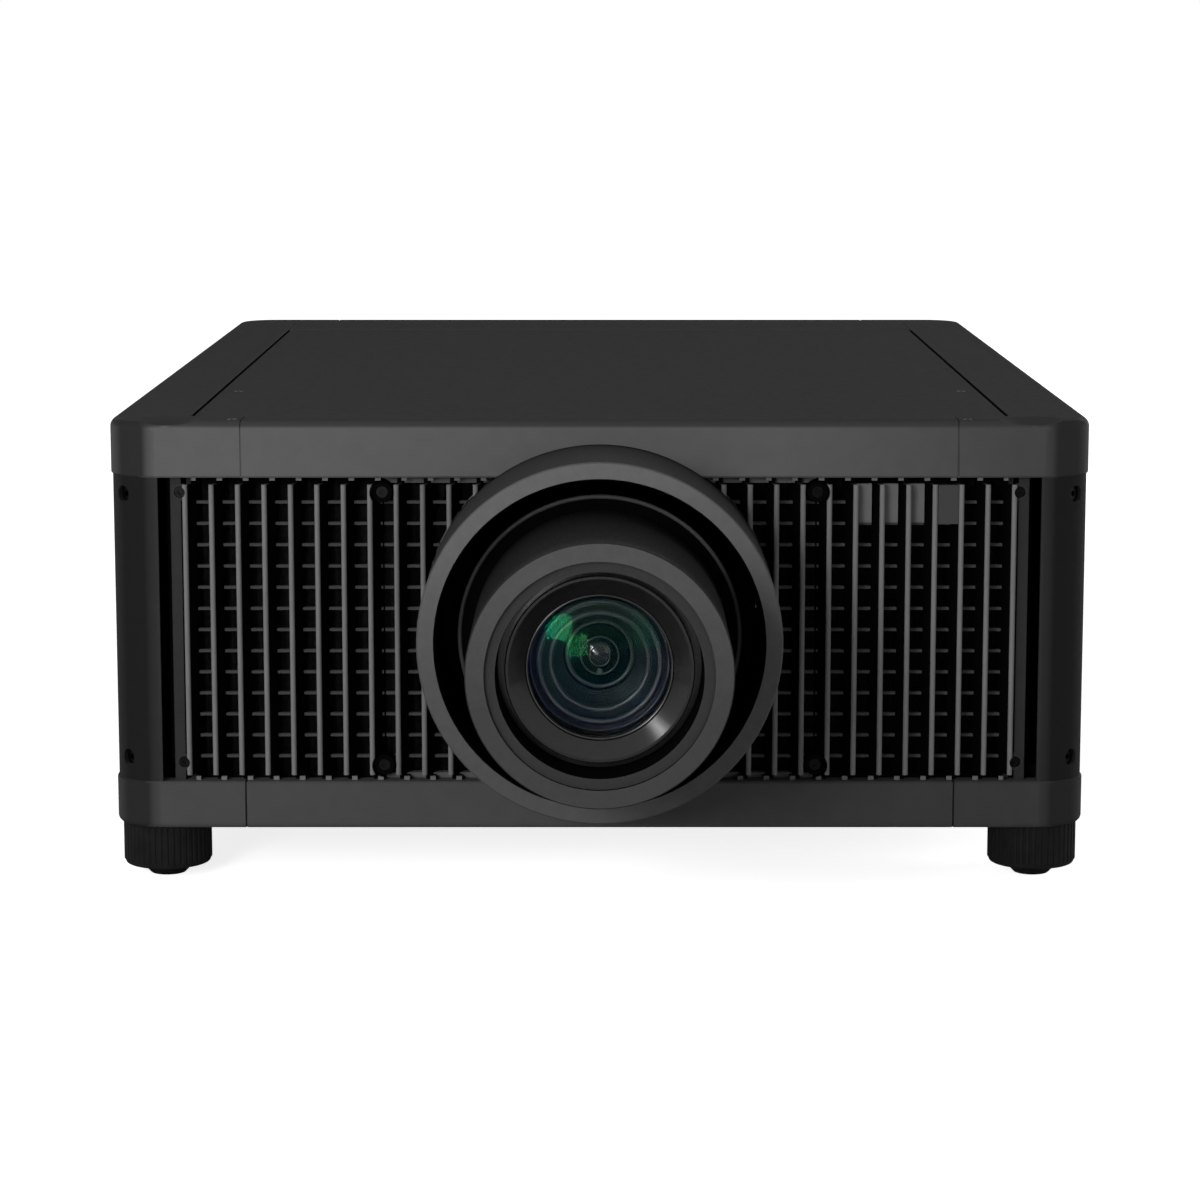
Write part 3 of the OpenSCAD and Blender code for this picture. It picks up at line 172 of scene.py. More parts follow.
def make_floor():
    """A pale floor that keeps the shadow and, to the camera, brightens towards white away from the object."""
    mesh = bpy.data.meshes.new("floor")
    r = FLOOR_REACH
    mesh.from_pydata([(-r, -r, 0), (r, -r, 0), (r, r, 0), (-r, r, 0)], [], [(0, 1, 2, 3)])
    floor = bpy.data.objects.new("floor", mesh)
    bpy.context.scene.collection.objects.link(floor)
    mat = bpy.data.materials.new("floor")
    tree = cleared(mat)
    link = tree.links.new
    paper = tree.nodes.new("ShaderNodeBsdfDiffuse")
    paper.inputs["Color"].default_value = FLOOR_COLOUR
    where = tree.nodes.new("ShaderNodeTexCoord")
    reach = tree.nodes.new("ShaderNodeVectorMath")
    reach.operation = "LENGTH"
    link(where.outputs["Object"], reach.inputs[0])
    glow = tree.nodes.new("ShaderNodeEmission")
    link(ramp_to(tree, reach.outputs["Value"], 0.8, 2.2, 0.82, 1.0), glow.inputs["Strength"])
    none = tree.nodes.new("ShaderNodeEmission")
    none.inputs["Strength"].default_value = 0
    path = tree.nodes.new("ShaderNodeLightPath")
    total = tree.nodes.new("ShaderNodeAddShader")
    link(paper.outputs[0], total.inputs[0])
    link(mix_shader(tree, path.outputs["Is Camera Ray"], none.outputs[0], glow.outputs[0]), total.inputs[1])
    out = tree.nodes.new("ShaderNodeOutputMaterial")
    link(total.outputs[0], out.inputs[0])
    mesh.materials.append(mat)


bpy.context.scene.view_settings.view_transform = "Standard"
make_camera()
make_world()
make_floor()
for lamp_row in LAMPS:
    softbox(*lamp_row)


# ---- material helpers ----

def gray(level):
    return (level, level, level)


def grade(tree, size, detail, low, high, start=0.35, end=0.65, squeeze=(1, 1, 1)):
    """Noise of a size in metres, graded between two colours or two numbers."""
    place = tree.nodes.new("ShaderNodeTexCoord")
    scale = tree.nodes.new("ShaderNodeMapping")
    scale.inputs["Scale"].default_value = squeeze
    noise = tree.nodes.new("ShaderNodeTexNoise")
    noise.inputs["Scale"].default_value = 1 / size
    noise.inputs["Detail"].default_value = detail
    tree.links.new(place.outputs["Object"], scale.inputs["Vector"])
    tree.links.new(scale.outputs["Vector"], noise.inputs["Vector"])
    if not isinstance(low, tuple):
        return ramp_to(tree, noise.outputs["Fac"], start, end, low, high)
    ramp = tree.nodes.new("ShaderNodeValToRGB")
    for stop, position, colour in zip(ramp.color_ramp.elements, (start, end), (low, high)):
        stop.position = position
        stop.color = (*colour, 1)
    tree.links.new(noise.outputs["Fac"], ramp.inputs["Fac"])
    return ramp.outputs["Color"]


def surface(name, low, high, rough, mottle=0.03, grain=0.0006, bump=0.3, depth=0.0001,
            spec=0.5, metallic=0.0, squeeze=(1, 1, 1)):
    """A finish whose colour and roughness vary in mottles, with a fine grain in relief. Sizes are in metres."""
    mat = bpy.data.materials.new(name)
    tree = cleared(mat)
    out = tree.nodes.new("ShaderNodeOutputMaterial")
    shader = tree.nodes.new("ShaderNodeBsdfPrincipled")
    link = tree.links.new
    link(shader.outputs[0], out.inputs[0])
    link(grade(tree, mottle, 4, low, high, squeeze=squeeze), shader.inputs["Base Color"])
    link(grade(tree, mottle * 0.4, 3, *rough, squeeze=squeeze), shader.inputs["Roughness"])
    if bump:
        relief = tree.nodes.new("ShaderNodeBump")
        relief.inputs["Strength"].default_value = bump
        relief.inputs["Distance"].default_value = depth
        link(grade(tree, grain, 3, 0.0, 1.0, 0.3, 0.7, squeeze), relief.inputs["Height"])
        link(relief.outputs["Normal"], shader.inputs["Normal"])
    shader.inputs["Specular IOR Level"].default_value = spec
    shader.inputs["Metallic"].default_value = metallic
    return mat


def glass(name, colour, ior, film, film_ior=1.38):
    """Clear glass with a thin coating, film nanometres thick."""
    mat = bpy.data.materials.new(name)
    tree = cleared(mat)
    out = tree.nodes.new("ShaderNodeOutputMaterial")
    shader = tree.nodes.new("ShaderNodeBsdfPrincipled")
    for key, value in (("Base Color", (*colour, 1)), ("Transmission Weight", 1), ("IOR", ior),
                       ("Thin Film Thickness", film), ("Thin Film IOR", film_ior)):
        shader.inputs[key].default_value = value
    tree.links.new(shader.outputs[0], out.inputs[0])
    tree.links.new(grade(tree, 0.004, 2, 0.0, 0.004), shader.inputs["Roughness"])
    return mat


def place_and_facing(tree, normal="True Normal"):
    """Object coordinates and the normal, each split into x, y, z."""
    outs = []
    for node, key in ((tree.nodes.new("ShaderNodeTexCoord"), "Object"),
                      (tree.nodes.new("ShaderNodeNewGeometry"), normal)):
        split = tree.nodes.new("ShaderNodeSeparateXYZ")
        tree.links.new(node.outputs[key], split.inputs[0])
        outs.append((split.outputs["X"], split.outputs["Y"], split.outputs["Z"]))
    return outs


def radial(tree):
    """How far a face looks away from the lens axis (-1 inwards to 1 outwards), and its distance from it."""
    (x, _, z), (nx, _, nz) = place_and_facing(tree)
    dz = math_node(tree, "SUBTRACT", z, AXIS_Z)
    reach = distance(tree, x, dz)
    dot = math_node(tree, "ADD", both(tree, x, nx), both(tree, dz, nz))
    return math_node(tree, "DIVIDE", dot, reach), reach


def principled(mat):
    return next(n for n in mat.node_tree.nodes if n.type == "BSDF_PRINCIPLED")


def shade(mat, factor):
    """The base colour times a factor that changes over the piece; used for painted light and shade."""
    tree = mat.node_tree
    base = principled(mat).inputs["Base Color"]
    scale = tree.nodes.new("ShaderNodeVectorMath")
    scale.operation = "SCALE"
    tree.links.new(base.links[0].from_socket, scale.inputs[0])
    tree.links.new(factor, scale.inputs["Scale"])
    tree.links.new(scale.outputs[0], base)


def darken(mat, mask, level, dull=None):
    """Gives a plain gray where the mask is 1, and there takes most of the gloss away if dull. With dull left out,
    the nearly black grays are dull."""
    tree = mat.node_tree
    base = principled(mat).inputs["Base Color"]
    mix = tree.nodes.new("ShaderNodeMix")
    mix.data_type = "RGBA"
    mix.inputs[7].default_value = (*gray(level), 1)
    tree.links.new(mask, mix.inputs[0])
    tree.links.new(base.links[0].from_socket, mix.inputs[6])
    tree.links.new(mix.outputs[2], base)
    if dull is None:
        dull = level < 0.01
    if dull:
        gloss = principled(mat).inputs["Specular IOR Level"]
        before = gloss.links[0].from_socket if gloss.links else gloss.default_value
        tree.links.new(both(tree, ramp_to(tree, mask, 0.0, 1.0, 1.0, 0.08), before), gloss)


# ---- coatings with painted light and shade that change over a piece; lengths are in metres ----

SHADE_BLACK = 0.0015                                       # albedo of painted shade in gaps, grooves and recesses: near black


def case_coat(name, level, side, top, fade):
    """The case's coating: level is its albedo. Painted shade: side is the albedo of faces that look sideways, top
    that of faces that look up, or None, which also leaves out the darker fillets below them. At the front's right
    end the front faces lose the share fade of their colour, a painted falloff of the light."""
    mat = surface(name, gray(level * 0.97), gray(level * 1.03), (0.6, 0.7), mottle=0.012, grain=0.0007,
                  bump=0.2, spec=0.02)
    tree = mat.node_tree
    (x, _, _), (nx, ny, nz) = place_and_facing(tree, "Normal")
    # painted falloff: the front faces darker towards the right end, as the light falls off
    lost = both(tree, ramp_to(tree, x, 0.1, 0.24, 0.0, fade), ramp_to(tree, ny, -0.3, -0.7))
    shade(mat, math_node(tree, "SUBTRACT", 1, lost))
    # painted shade: the fillets under the top and the faces that look up get darker grays
    if top:
        darken(mat, ramp_to(tree, nz, 0.15, 0.45), level * 0.46)
        darken(mat, ramp_to(tree, nz, 0.8, 0.99), top, dull=True)
    # painted shade: faces that look sideways, but not up, get the darker side gray
    across = math_node(tree, "ABSOLUTE", nx)
    turned = both(tree, ramp_to(tree, across, 0.04, 0.26), ramp_to(tree, across, 0.7, 0.92, 1.0, 0.4))
    upright = ramp_to(tree, nz, 0.8, 0.9, 1.0, 0.0)
    darken(mat, both(tree, turned, upright), side)
    return mat


def shade_grooves(mat):
    """Painted shade: near black inside the grooves beside the top cover."""
    tree = mat.node_tree
    (x, y, z), _ = place_and_facing(tree)
    cover_lo, cover_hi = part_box("top_cover")
    below, half_deep = 0.0033, 0.003                # middle of the groove under the cover's top
    beside, half_wide = 0.0012, 0.0014              # and beside its edge
    along = math_node(tree, "COMPARE", y, (cover_lo.y + cover_hi.y) / 2, (cover_hi.y - cover_lo.y) / 2)
    under = math_node(tree, "COMPARE", z, cover_hi.z - below, half_deep)
    across = math_node(tree, "COMPARE", math_node(tree, "ABSOLUTE", x), cover_hi.x + beside, half_wide)
    darken(mat, both(tree, along, both(tree, under, across)), SHADE_BLACK)


def grille_coat(name, low, high, strip):
    """Coated noses and tabs, with painted shade deeper in: a darker gray on the cross bars and behind them, near
    black on the blades' sides, beyond the blades' ends and round the ears, and darker set-back strips at the
    grille's ends. strip is the albedo of what lies behind the tabs, or None."""
    mat = surface(name, gray(low), gray(high), (0.6, 0.7), mottle=0.02, grain=0.0004, bump=0.15, depth=0.00008,
                  spec=0.08)
    tree = mat.node_tree
    (x, y, z), (nx, _, _) = place_and_facing(tree)
    aside = math_node(tree, "ABSOLUTE", x)

    def behind(near, far):
        """A mask that rises between two distances behind the front plane."""
        return ramp_to(tree, y, FRONT_Y + near, FRONT_Y + far)

    # painted shade: everything deeper than the blades' noses, the cross bars too, gets a darker gray
    darken(mat, behind(0.0052, 0.0058), 0.05)
    # painted shade: near black deeper in, above and below the blades' ends
    blade_low, blade_high, soft = grille_lo.z + 0.0032, grille_hi.z - 0.0044, 0.0002
    outside = math_node(tree, "MAXIMUM", ramp_to(tree, z, blade_low + soft, blade_low - soft),
                        ramp_to(tree, z, blade_high - soft, blade_high + soft))
    darken(mat, both(tree, outside, behind(0.0073, 0.0076)), SHADE_BLACK)
    if strip:
        darken(mat, both(tree, outside, behind(0.0108, 0.0112)), strip)
    # painted shade: near black round the ears, which sit in recesses
    ear_x, ear_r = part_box("grille_centre")[1].x - 0.0058, 0.007
    for ear_z in (grille_lo.z + 0.0087, grille_hi.z - 0.0089):
        reach = distance(tree, math_node(tree, "SUBTRACT", aside, ear_x), math_node(tree, "SUBTRACT", z, ear_z))
        darken(mat, ramp_to(tree, reach, ear_r + soft, ear_r - soft), SHADE_BLACK)
    end_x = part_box("grille_right")[1].x
    beside = ramp_to(tree, aside, end_x - 0.0125, end_x - 0.012)
    darken(mat, both(tree, beside, behind(0.0046, 0.005)), 0.02)
    # painted shade: the blades' sides behind the noses are near black
    sideways = ramp_to(tree, math_node(tree, "ABSOLUTE", nx), 0.3, 0.6)
    darken(mat, both(tree, sideways, behind(0.0044, 0.0047)), SHADE_BLACK)
    return mat


def shroud_coat():
    """Painted light and shade: a face lighter upwards and towards the upper left, a darker outer wall, and a
    near-black bore and flange.
    """
    mat = surface("lens_coating", gray(0.068), gray(0.074), (0.65, 0.75), mottle=0.006, grain=0.0008,
                  bump=0.6, depth=0.00016, spec=0.15)
    tree = mat.node_tree
    (x, _, z), _ = place_and_facing(tree)
    # painted light: the face lighter upwards and towards the upper left
    slope = math_node(tree, "SUBTRACT", z, both(tree, x, 0.25))
    shade(mat, both(tree, ramp_to(tree, z, AXIS_Z - 0.09, AXIS_Z, 0.78, 1.0),
                    ramp_to(tree, slope, AXIS_Z + 0.01, AXIS_Z + 0.08, 1.0, 1.5)))
    outward, reach = radial(tree)
    # painted shade: the bore near black and the outer wall darker
    darken(mat, ramp_to(tree, outward, -0.3, -0.7), SHADE_BLACK)
    darken(mat, ramp_to(tree, outward, 0.5, 0.95), 0.032, dull=True)
    # painted shade: the flange behind the grilles near black
    flange = 0.011
    wall_r = (shroud_hi.x - shroud_lo.x) / 2 - flange
    darken(mat, ramp_to(tree, reach, wall_r + 0.0004, wall_r + 0.0006), SHADE_BLACK)
    return mat


def front_barrel_coat():
    """Painted light and shade: a front ring lighter upwards, a darker bevel, a near-black bore, and an outer wall
    that darkens from the front backwards.
    """
    mat = surface("barrel_coating", gray(0.052), gray(0.057), (0.6, 0.7), mottle=0.006, grain=0.0008,
                  bump=0.5, depth=0.00016, spec=0.15)
    tree = mat.node_tree
    outward, reach = radial(tree)
    (_, y, z), _ = place_and_facing(tree)
    # painted light: the front ring lighter upwards
    shade(mat, ramp_to(tree, z, AXIS_Z - 0.02, AXIS_Z + 0.05, 0.62, 1.0))
    # painted shade: the bevel darker and the bore near black
    bevel_r = 0.06
    darken(mat, ramp_to(tree, reach, bevel_r + 0.0004, bevel_r), 0.019)
    darken(mat, ramp_to(tree, outward, -0.3, -0.7), 0.001)
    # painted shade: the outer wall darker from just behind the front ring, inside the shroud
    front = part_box("lens_barrel")[0].y
    behind = ramp_to(tree, y, front + 0.001, front + 0.02, 0.93, 1.0)
    darken(mat, both(tree, ramp_to(tree, outward, 0.3, 0.8), behind), 0.009, dull=True)
    return mat


def mains_inlet_plastic():
    """Black plastic with three bright pins."""
    mat = surface("inlet_plastic", gray(0.014), gray(0.02), (0.4, 0.5), mottle=0.01, grain=0.0005, bump=0.2)
    tree = mat.node_tree
    (x, y, z), _ = place_and_facing(tree)
    inlet_lo, inlet_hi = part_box("power_inlet")
    inside = math_node(tree, "COMPARE", y, inlet_hi.y - 0.0125, 0.007)
    half_wide, half_high = 0.00105, 0.0021
    for dx, dz in ((0, 0.004), (-0.007, -0.003), (0.007, -0.003)):
        near_x = math_node(tree, "COMPARE", x, (inlet_lo.x + inlet_hi.x) / 2 + dx, half_wide)
        near_z = math_node(tree, "COMPARE", z, (inlet_lo.z + inlet_hi.z) / 2 + dz, half_high)
        darken(mat, both(tree, inside, both(tree, near_x, near_z)), 0.4)
    return mat


def window_plastic():
    """Smoked plastic, darker on the receiver window at the right."""
    mat = surface("window_plastic", gray(0.1), gray(0.108), (0.3, 0.36), mottle=0.01, grain=0.001, bump=0.02,
                  spec=0.15)
    tree = mat.node_tree
    (x, _, _), _ = place_and_facing(tree)
    receiver_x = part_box("signal_windows")[1].x - 0.013
    darken(mat, ramp_to(tree, x, receiver_x, receiver_x + 0.0005), 0.036)
    return mat


# ---- materials ----

coating = case_coat("case_coating", level=0.09, side=0.02, top=0.042, fade=0.4)
shade_grooves(coating)
# painted shade: a darker copy of the case coating for the bottom bars and rails
shaded_low_coat = case_coat("low_coating", level=0.056, side=0.018, top=None, fade=0.28)
column_coat = case_coat("column_coating", level=0.026, side=0.01, top=None, fade=0)
louvre = grille_coat("grille_plastic", 0.13, 0.14, strip=None)
centre_louvre = grille_coat("centre_grille", 0.115, 0.125, strip=0.09)
lens_coat = shroud_coat()
barrel_coat = front_barrel_coat()
dead_black = surface("lens_black", gray(0.004), gray(0.006), (0.5, 0.65), mottle=0.01, grain=0.0004,
                     bump=0.2, depth=0.00008, spec=0.05)
# painted shade: the lens housing's front, inside the shroud, near black
housing_shade_black = surface("housing_black", gray(0.001), gray(0.0014), (0.6, 0.7), mottle=0.01, grain=0.0004,
                     bump=0.2, depth=0.00008, spec=0.01)
baffle_black = surface("baffle_black", gray(0.003), gray(0.004), (0.4, 0.5), mottle=0.01, grain=0.0004,
                       bump=0.1, depth=0.00005, spec=0.04)
gloss_black = surface("gloss_black", gray(0.012), gray(0.016), (0.16, 0.22), mottle=0.01, grain=0.0004,
                      bump=0.03, depth=0.00003)
rim_black = surface("rim_black", gray(0.05), gray(0.056), (0.5, 0.6), mottle=0.01, grain=0.0004,
                    bump=0.1, depth=0.00005, spec=0.1)
cell_black = surface("cell_black", gray(0.008), gray(0.01), (0.17, 0.2), mottle=0.01, grain=0.0004,
                     bump=0.03, depth=0.00003, spec=0.3)
lip_black = surface("lip_black", gray(0.014), gray(0.018), (0.3, 0.36), mottle=0.01, grain=0.0004,
                    bump=0.05, depth=0.00005, spec=0.2)
sheet_steel = surface("base_sheet", gray(0.03), gray(0.038), (0.4, 0.5), mottle=0.06, grain=0.001, bump=0.2)
# fan plastic near black, partly painted shade behind the grilles
inside_black = surface("fan_plastic", gray(0.003), gray(0.004), (0.6, 0.7), mottle=0.02, bump=0.2, spec=0.03)
# near-black filter cloth, partly painted shade behind the vents and grilles
filter_shade_cloth = surface("filter_shade_cloth", gray(0.004), gray(0.008), (0.9, 1.0), mottle=0.003, bump=0.6,
                       depth=0.0003, spec=0.02)
foot_black = surface("foot_plastic", gray(0.007), gray(0.01), (0.5, 0.6), mottle=0.01, grain=0.0005,
                     bump=0.25, spec=0.04)
rubber = surface("foot_rubber", gray(0.006), gray(0.009), (0.7, 0.85), mottle=0.008, bump=0.4,
                 depth=0.00015, spec=0.05)
# black steel darkened to near black: painted shade in the screws' recesses
screw_black = surface("black_steel", gray(0.004), gray(0.006), (0.3, 0.42), mottle=0.004, grain=0.0003,
                      bump=0.15, depth=0.00005, metallic=1.0)
port_metal = surface("port_metal", gray(0.035), gray(0.045), (0.4, 0.5), mottle=0.02, bump=0.2)
inlet_black = mains_inlet_plastic()
key_black = surface("key_plastic", gray(0.085), gray(0.095), (0.35, 0.42), mottle=0.006, grain=0.0004, bump=0.2)
acetal = surface("gear_plastic", (0.55, 0.54, 0.5), (0.62, 0.61, 0.56), (0.4, 0.5), mottle=0.01,
                 grain=0.0005, bump=0.15)
brass = surface("brass", (0.6, 0.45, 0.2), (0.72, 0.55, 0.27), (0.25, 0.4), mottle=0.004, grain=0.0004,
                bump=0.1, metallic=1.0)
motor_steel = surface("motor_steel", gray(0.4), gray(0.48), (0.3, 0.42), mottle=0.01, bump=0.1,
                      metallic=1.0, squeeze=(1, 6, 1))
bright_steel = surface("bright_steel", gray(0.55), gray(0.65), (0.18, 0.3), mottle=0.006, grain=0.0004,
                       bump=0.1, metallic=1.0)
castings = surface("cast_aluminium", (0.42, 0.42, 0.44), (0.52, 0.52, 0.54), (0.45, 0.6), mottle=0.02,
                   grain=0.0012, bump=0.5, depth=0.0003, metallic=1.0)
zinc = surface("zinc_sheet", (0.42, 0.44, 0.45), (0.56, 0.58, 0.59), (0.3, 0.5), mottle=0.02, grain=0.004,
               bump=0.1, metallic=1.0)
board_green = surface("circuit_board", (0.012, 0.06, 0.03), (0.02, 0.09, 0.045), (0.25, 0.35), mottle=0.004,
                      grain=0.001, bump=0.2)
smoked = window_plastic()
front_coat = glass("lens_glass", (0.99, 1.0, 0.99), ior=1.18, film=484, film_ior=1.086)
# painted shade: an opaque near-black glossy surface stands in for the second lens element and the dark lens
# behind it
pupil_shade_glass = surface("pupil_shade_glass", (0.001, 0.0015, 0.0013), (0.002, 0.003, 0.0025), (0.0, 0.01),
                     mottle=0.01, bump=0, spec=0.2)
prism_glass = glass("prism_glass", (0.85, 0.9, 0.95), ior=1.5, film=300)

# The material of each slot in the record
LOOKS = {
    "case_coating": coating, "base_sheet": sheet_steel, "grille_plastic": louvre, "lens_coating": lens_coat,
    "lens_black": dead_black, "window_plastic": smoked, "port_metal": port_metal,
    "inlet_plastic": inlet_black, "black_steel": screw_black, "foot_plastic": foot_black,
    "foot_rubber": rubber, "lens_glass": front_coat, "prism_glass": prism_glass, "gear_plastic": acetal,
    "brass": brass, "motor_steel": motor_steel, "cast_aluminium": castings, "bright_steel": bright_steel,
    "zinc_sheet": zinc, "circuit_board": board_green, "fan_plastic": inside_black, "key_plastic": key_black,
}
# Nodes whose material is not their slot's
# painted shade: the lens housing, frame and carriages near black, and the bottom bars and rails in the darker
# copy of the case coating
OWN_LOOKS = {
    "lens_barrel": barrel_coat, "lens_housing": housing_shade_black, "corner_columns": column_coat,
    "focus_cell": cell_black, "grille_centre": centre_louvre, "bottom_front_bar": shaded_low_coat,
    "bottom_rear_bar": shaded_low_coat, "bottom_rails": shaded_low_coat, "lens_frame": dead_black,
    "lift_carriage": dead_black, "shift_carriage": dead_black,
}
for part in frame["record"]["subparts"]:
    materials = nodes[part["node"]].data.materials
    materials.clear()
    materials.append(OWN_LOOKS.get(part["node"], LOOKS[part["material_slot"]]))


# ---- helpers for new pieces ----

LATHE_STEPS = 128


def add(name, verts, faces, body, mat, smooth_deg=35):
    """A mesh as a piece on a body, smooth but for edges sharper than smooth_deg."""
    mesh = bpy.data.meshes.new(name)
    mesh.from_pydata([tuple(v) for v in verts], [], faces)
    mesh.validate()
    mesh.shade_smooth()
    mesh.set_sharp_from_angle(angle=math.radians(smooth_deg))
    obj = bpy.data.objects.new(name, mesh)
    bpy.context.scene.collection.objects.link(obj)
    mesh.materials.append(mat)
    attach(obj, body)
    return obj


def mend(obj, change):
    """Runs a change on a piece's mesh as a bmesh."""
    bm = bmesh.new()
    bm.from_mesh(obj.data)
    change(bm)
    bm.to_mesh(obj.data)
    bm.free()


def lathe(name, profile, body, mat, smooth_deg=35):
    """A closed profile of (radius, distance behind the front plane) in mm, turned round the lens axis."""
    count = LATHE_STEPS
    verts, faces, rings = [], [], []
    for r, s in profile:
        y = FRONT_Y + s * MM
        if r < 1e-6:
            rings.append([len(verts)])
            verts.append((0, y, AXIS_Z))
            continue
        rings.append(list(range(len(verts), len(verts) + count)))
        for i in range(count):
            a = 2 * math.pi * i / count
            verts.append((r * MM * math.cos(a), y, AXIS_Z + r * MM * math.sin(a)))
    for low, high in zip(rings, rings[1:] + rings[:1]):
        if len(low) == 1 and len(high) == 1:
            continue
        for i in range(count):
            j = (i + 1) % count
            if len(low) == 1:
                faces.append((low[0], high[j], high[i]))
            elif len(high) == 1:
                faces.append((low[i], low[j], high[0]))
            else:
                faces.append((low[i], low[j], high[j], high[i]))
    return add(name, verts, faces, body, mat, smooth_deg)


def boxes(name, spans, mat):
    """Boxes from (lowest, highest) corners, as one piece on the case."""
    verts, faces = [], []
    for lo, hi in spans:
        xs, ys, zs = zip(lo, hi)
        n = len(verts)
        verts += [(xs[i], ys[j], zs[k]) for i in (0, 1) for j in (0, 1) for k in (0, 1)]
        faces += [tuple(i + n for i in side) for side in ((0, 1, 3, 2), (4, 6, 7, 5), (0, 4, 5, 1),
                                                          (2, 3, 7, 6), (0, 2, 6, 4), (1, 5, 7, 3))]
    return add(name, verts, faces, "case", mat, 30)


# ---- inside the lens, in millimetres ----

CELL_S = (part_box("focus_cell")[0].y - FRONT_Y) / MM  # front of the focus cell, behind the front plane


def in_cell(points):
    """Points measured from the front of the focus cell, as points measured from the front plane."""
    return [(r, CELL_S + s) for r, s in points]


def make_baffle():
    """A stepped black cone behind the front glass."""
    points = [(42.8, 23), (38.6, 23), (38.2, 23.4), (38.2, 27), (36.4, 27), (36.4, 25.4), (32.9, 26.5),
              (32.9, 30), (29.8, 31), (29.8, 29.4), (26.4, 29.4), (26.4, 34)]
    for i in range(9):
        r = 25.2 - i * 0.85
        points += [(r, 34 + i * 1.6), (r, 35.4 + i * 1.6)]
    points += [(17.4, 49.6), (15.6, 49.6), (15.6, 51.5), (42.8, 51.5)]
    lathe("focus_baffle", in_cell(points), "focus_group", baffle_black)


def lip(name, r, width, s):
    """A retaining ring: a low round bead of the given width, outer radius r, front crown at s."""
    points = [(r, s + width * 0.6)]
    for k in range(9):
        a = math.pi * k / 8
        points.append((r - width / 2 + width / 2 * math.cos(a), s + width * 0.3 - width * 0.3 * math.sin(a)))
    points.append((r - width, s + width * 0.6))
    lathe(name, in_cell(points), "focus_group", lip_black, smooth_deg=60)


def lens_profile(r, s, thick, bulge_front, bulge_back, steps=14):
    """Half a lens's section, from the axis out along its front and back again."""
    front = [(r * k / steps, s - bulge_front * (1 - (k / steps) ** 2)) for k in range(steps + 1)]
    back = [(r * k / steps, s + thick + bulge_back * (1 - (k / steps) ** 2)) for k in range(steps, -1, -1)]
    return front + back


make_baffle()
# outer radius, width, front crown
for number, lip_row in enumerate(((36.4, 0.9, 24.4), (32.9, 2.8, 24.6), (26.4, 2.2, 27.6),
                                  (17.3, 1.5, 48.4), (9.9, 0.8, 44.2), (5.4, 0.6, 42.2)), 1):
    lip(f"retaining_ring_{number}", *lip_row)
FRONT_BEAD = [(39.1, 10.8), (39.1, 8.2), (38.9, 7.7), (38.5, 7.4), (38.1, 7.5), (37.8, 7.9), (37.6, 8.6),
              (37.6, 10.8)]
lathe("front_retainer", in_cell(FRONT_BEAD), "focus_group", gloss_black, smooth_deg=60)
BARREL_R = 70.2
RIM_R = BARREL_R + 8.6
RIM_S = -51.6                                       # the housing's front edge, before the front plane
RIM_BEAD = [(RIM_R - 2.4, 0.2), (RIM_R - 2.2, -0.7), (RIM_R - 1.6, -1.2), (RIM_R - 0.9, -1.3),
            (RIM_R - 0.3, -0.9), (RIM_R, -0.3), (RIM_R, 1.2), (RIM_R - 0.9, 0.2)]
lathe("housing_rim", [(r, RIM_S + s) for r, s in RIM_BEAD], "lens", rim_black, smooth_deg=60)
lathe("second_element", lens_profile(15.4, CELL_S + 49.8, 1.5, 8, 0.1), "focus_group", pupil_shade_glass)


# ---- metal in the rear sockets ----

def socket_shell(name, x0, wide, high, depth=0.011, wall=0.00035, flare=0.0006, clear=0.0001, lip_deep=0.0004):
    """A folded metal sleeve that lines a socket, with a flared lip."""
    face_y = ports_hi.y
    loops = []
    for grow, y in ((-clear - wall, face_y - depth), (-clear - wall, face_y - lip_deep),
                    (flare - wall, face_y + lip_deep), (flare, face_y + lip_deep), (flare, face_y + clear),
                    (-clear, face_y + clear), (-clear, face_y - depth)):
        x_low, x_high = x0 - grow, x0 + wide + grow
        z_low, z_high = PORTS_Z - high / 2 - grow, PORTS_Z + high / 2 + grow
        loops.append([(x_low, y, z_low), (x_high, y, z_low), (x_high, y, z_high), (x_low, y, z_high)])
    n = len(loops)
    faces = [(a * 4 + k, a * 4 + (k + 1) % 4, (a + 1) % n * 4 + (k + 1) % 4, (a + 1) % n * 4 + k)
             for a in range(n) for k in range(4)]
    return add(name, [v for loop in loops for v in loop], faces, "case", zinc, 30)


def jack_nut(name, x):
    """A knurled nut round a jack socket, on the port plate."""
    n, verts, faces = 36, [], []
    outer_r, knurl = 0.0046, 0.00015
    profile = ((0.0031, -0.009), (0.0031, 0.0003), (0.0033, 0.0006), (0.0042, 0.0006), (outer_r, 0.0004),
               (outer_r, 0.0001))
    for r, y in profile:
        for k in range(n):
            a = 2 * math.pi * k / n
            reach = r + (knurl if k % 2 and r == outer_r else 0)
            verts.append((x + reach * math.cos(a), ports_hi.y + y, PORTS_Z + reach * math.sin(a)))
    for row in range(len(profile) - 1):
        faces += [(row * n + k, row * n + (k + 1) % n, (row + 1) * n + (k + 1) % n, (row + 1) * n + k)
                  for k in range(n)]
    return add(name, verts, faces, "case", bright_steel, 30)


# name, place along the port plate, width, height
SHELLS = (("first_video_shell", 0.012, 0.0155, 0.0065), ("second_video_shell", 0.036, 0.0155, 0.0065),
          ("network_shell", 0.06, 0.0135, 0.012), ("usb_shell", 0.084, 0.0135, 0.0065),
          ("serial_shell", 0.112, 0.022, 0.011))
for name, x, wide, high in SHELLS:
    socket_shell(name, ports_lo.x + x, wide, high)

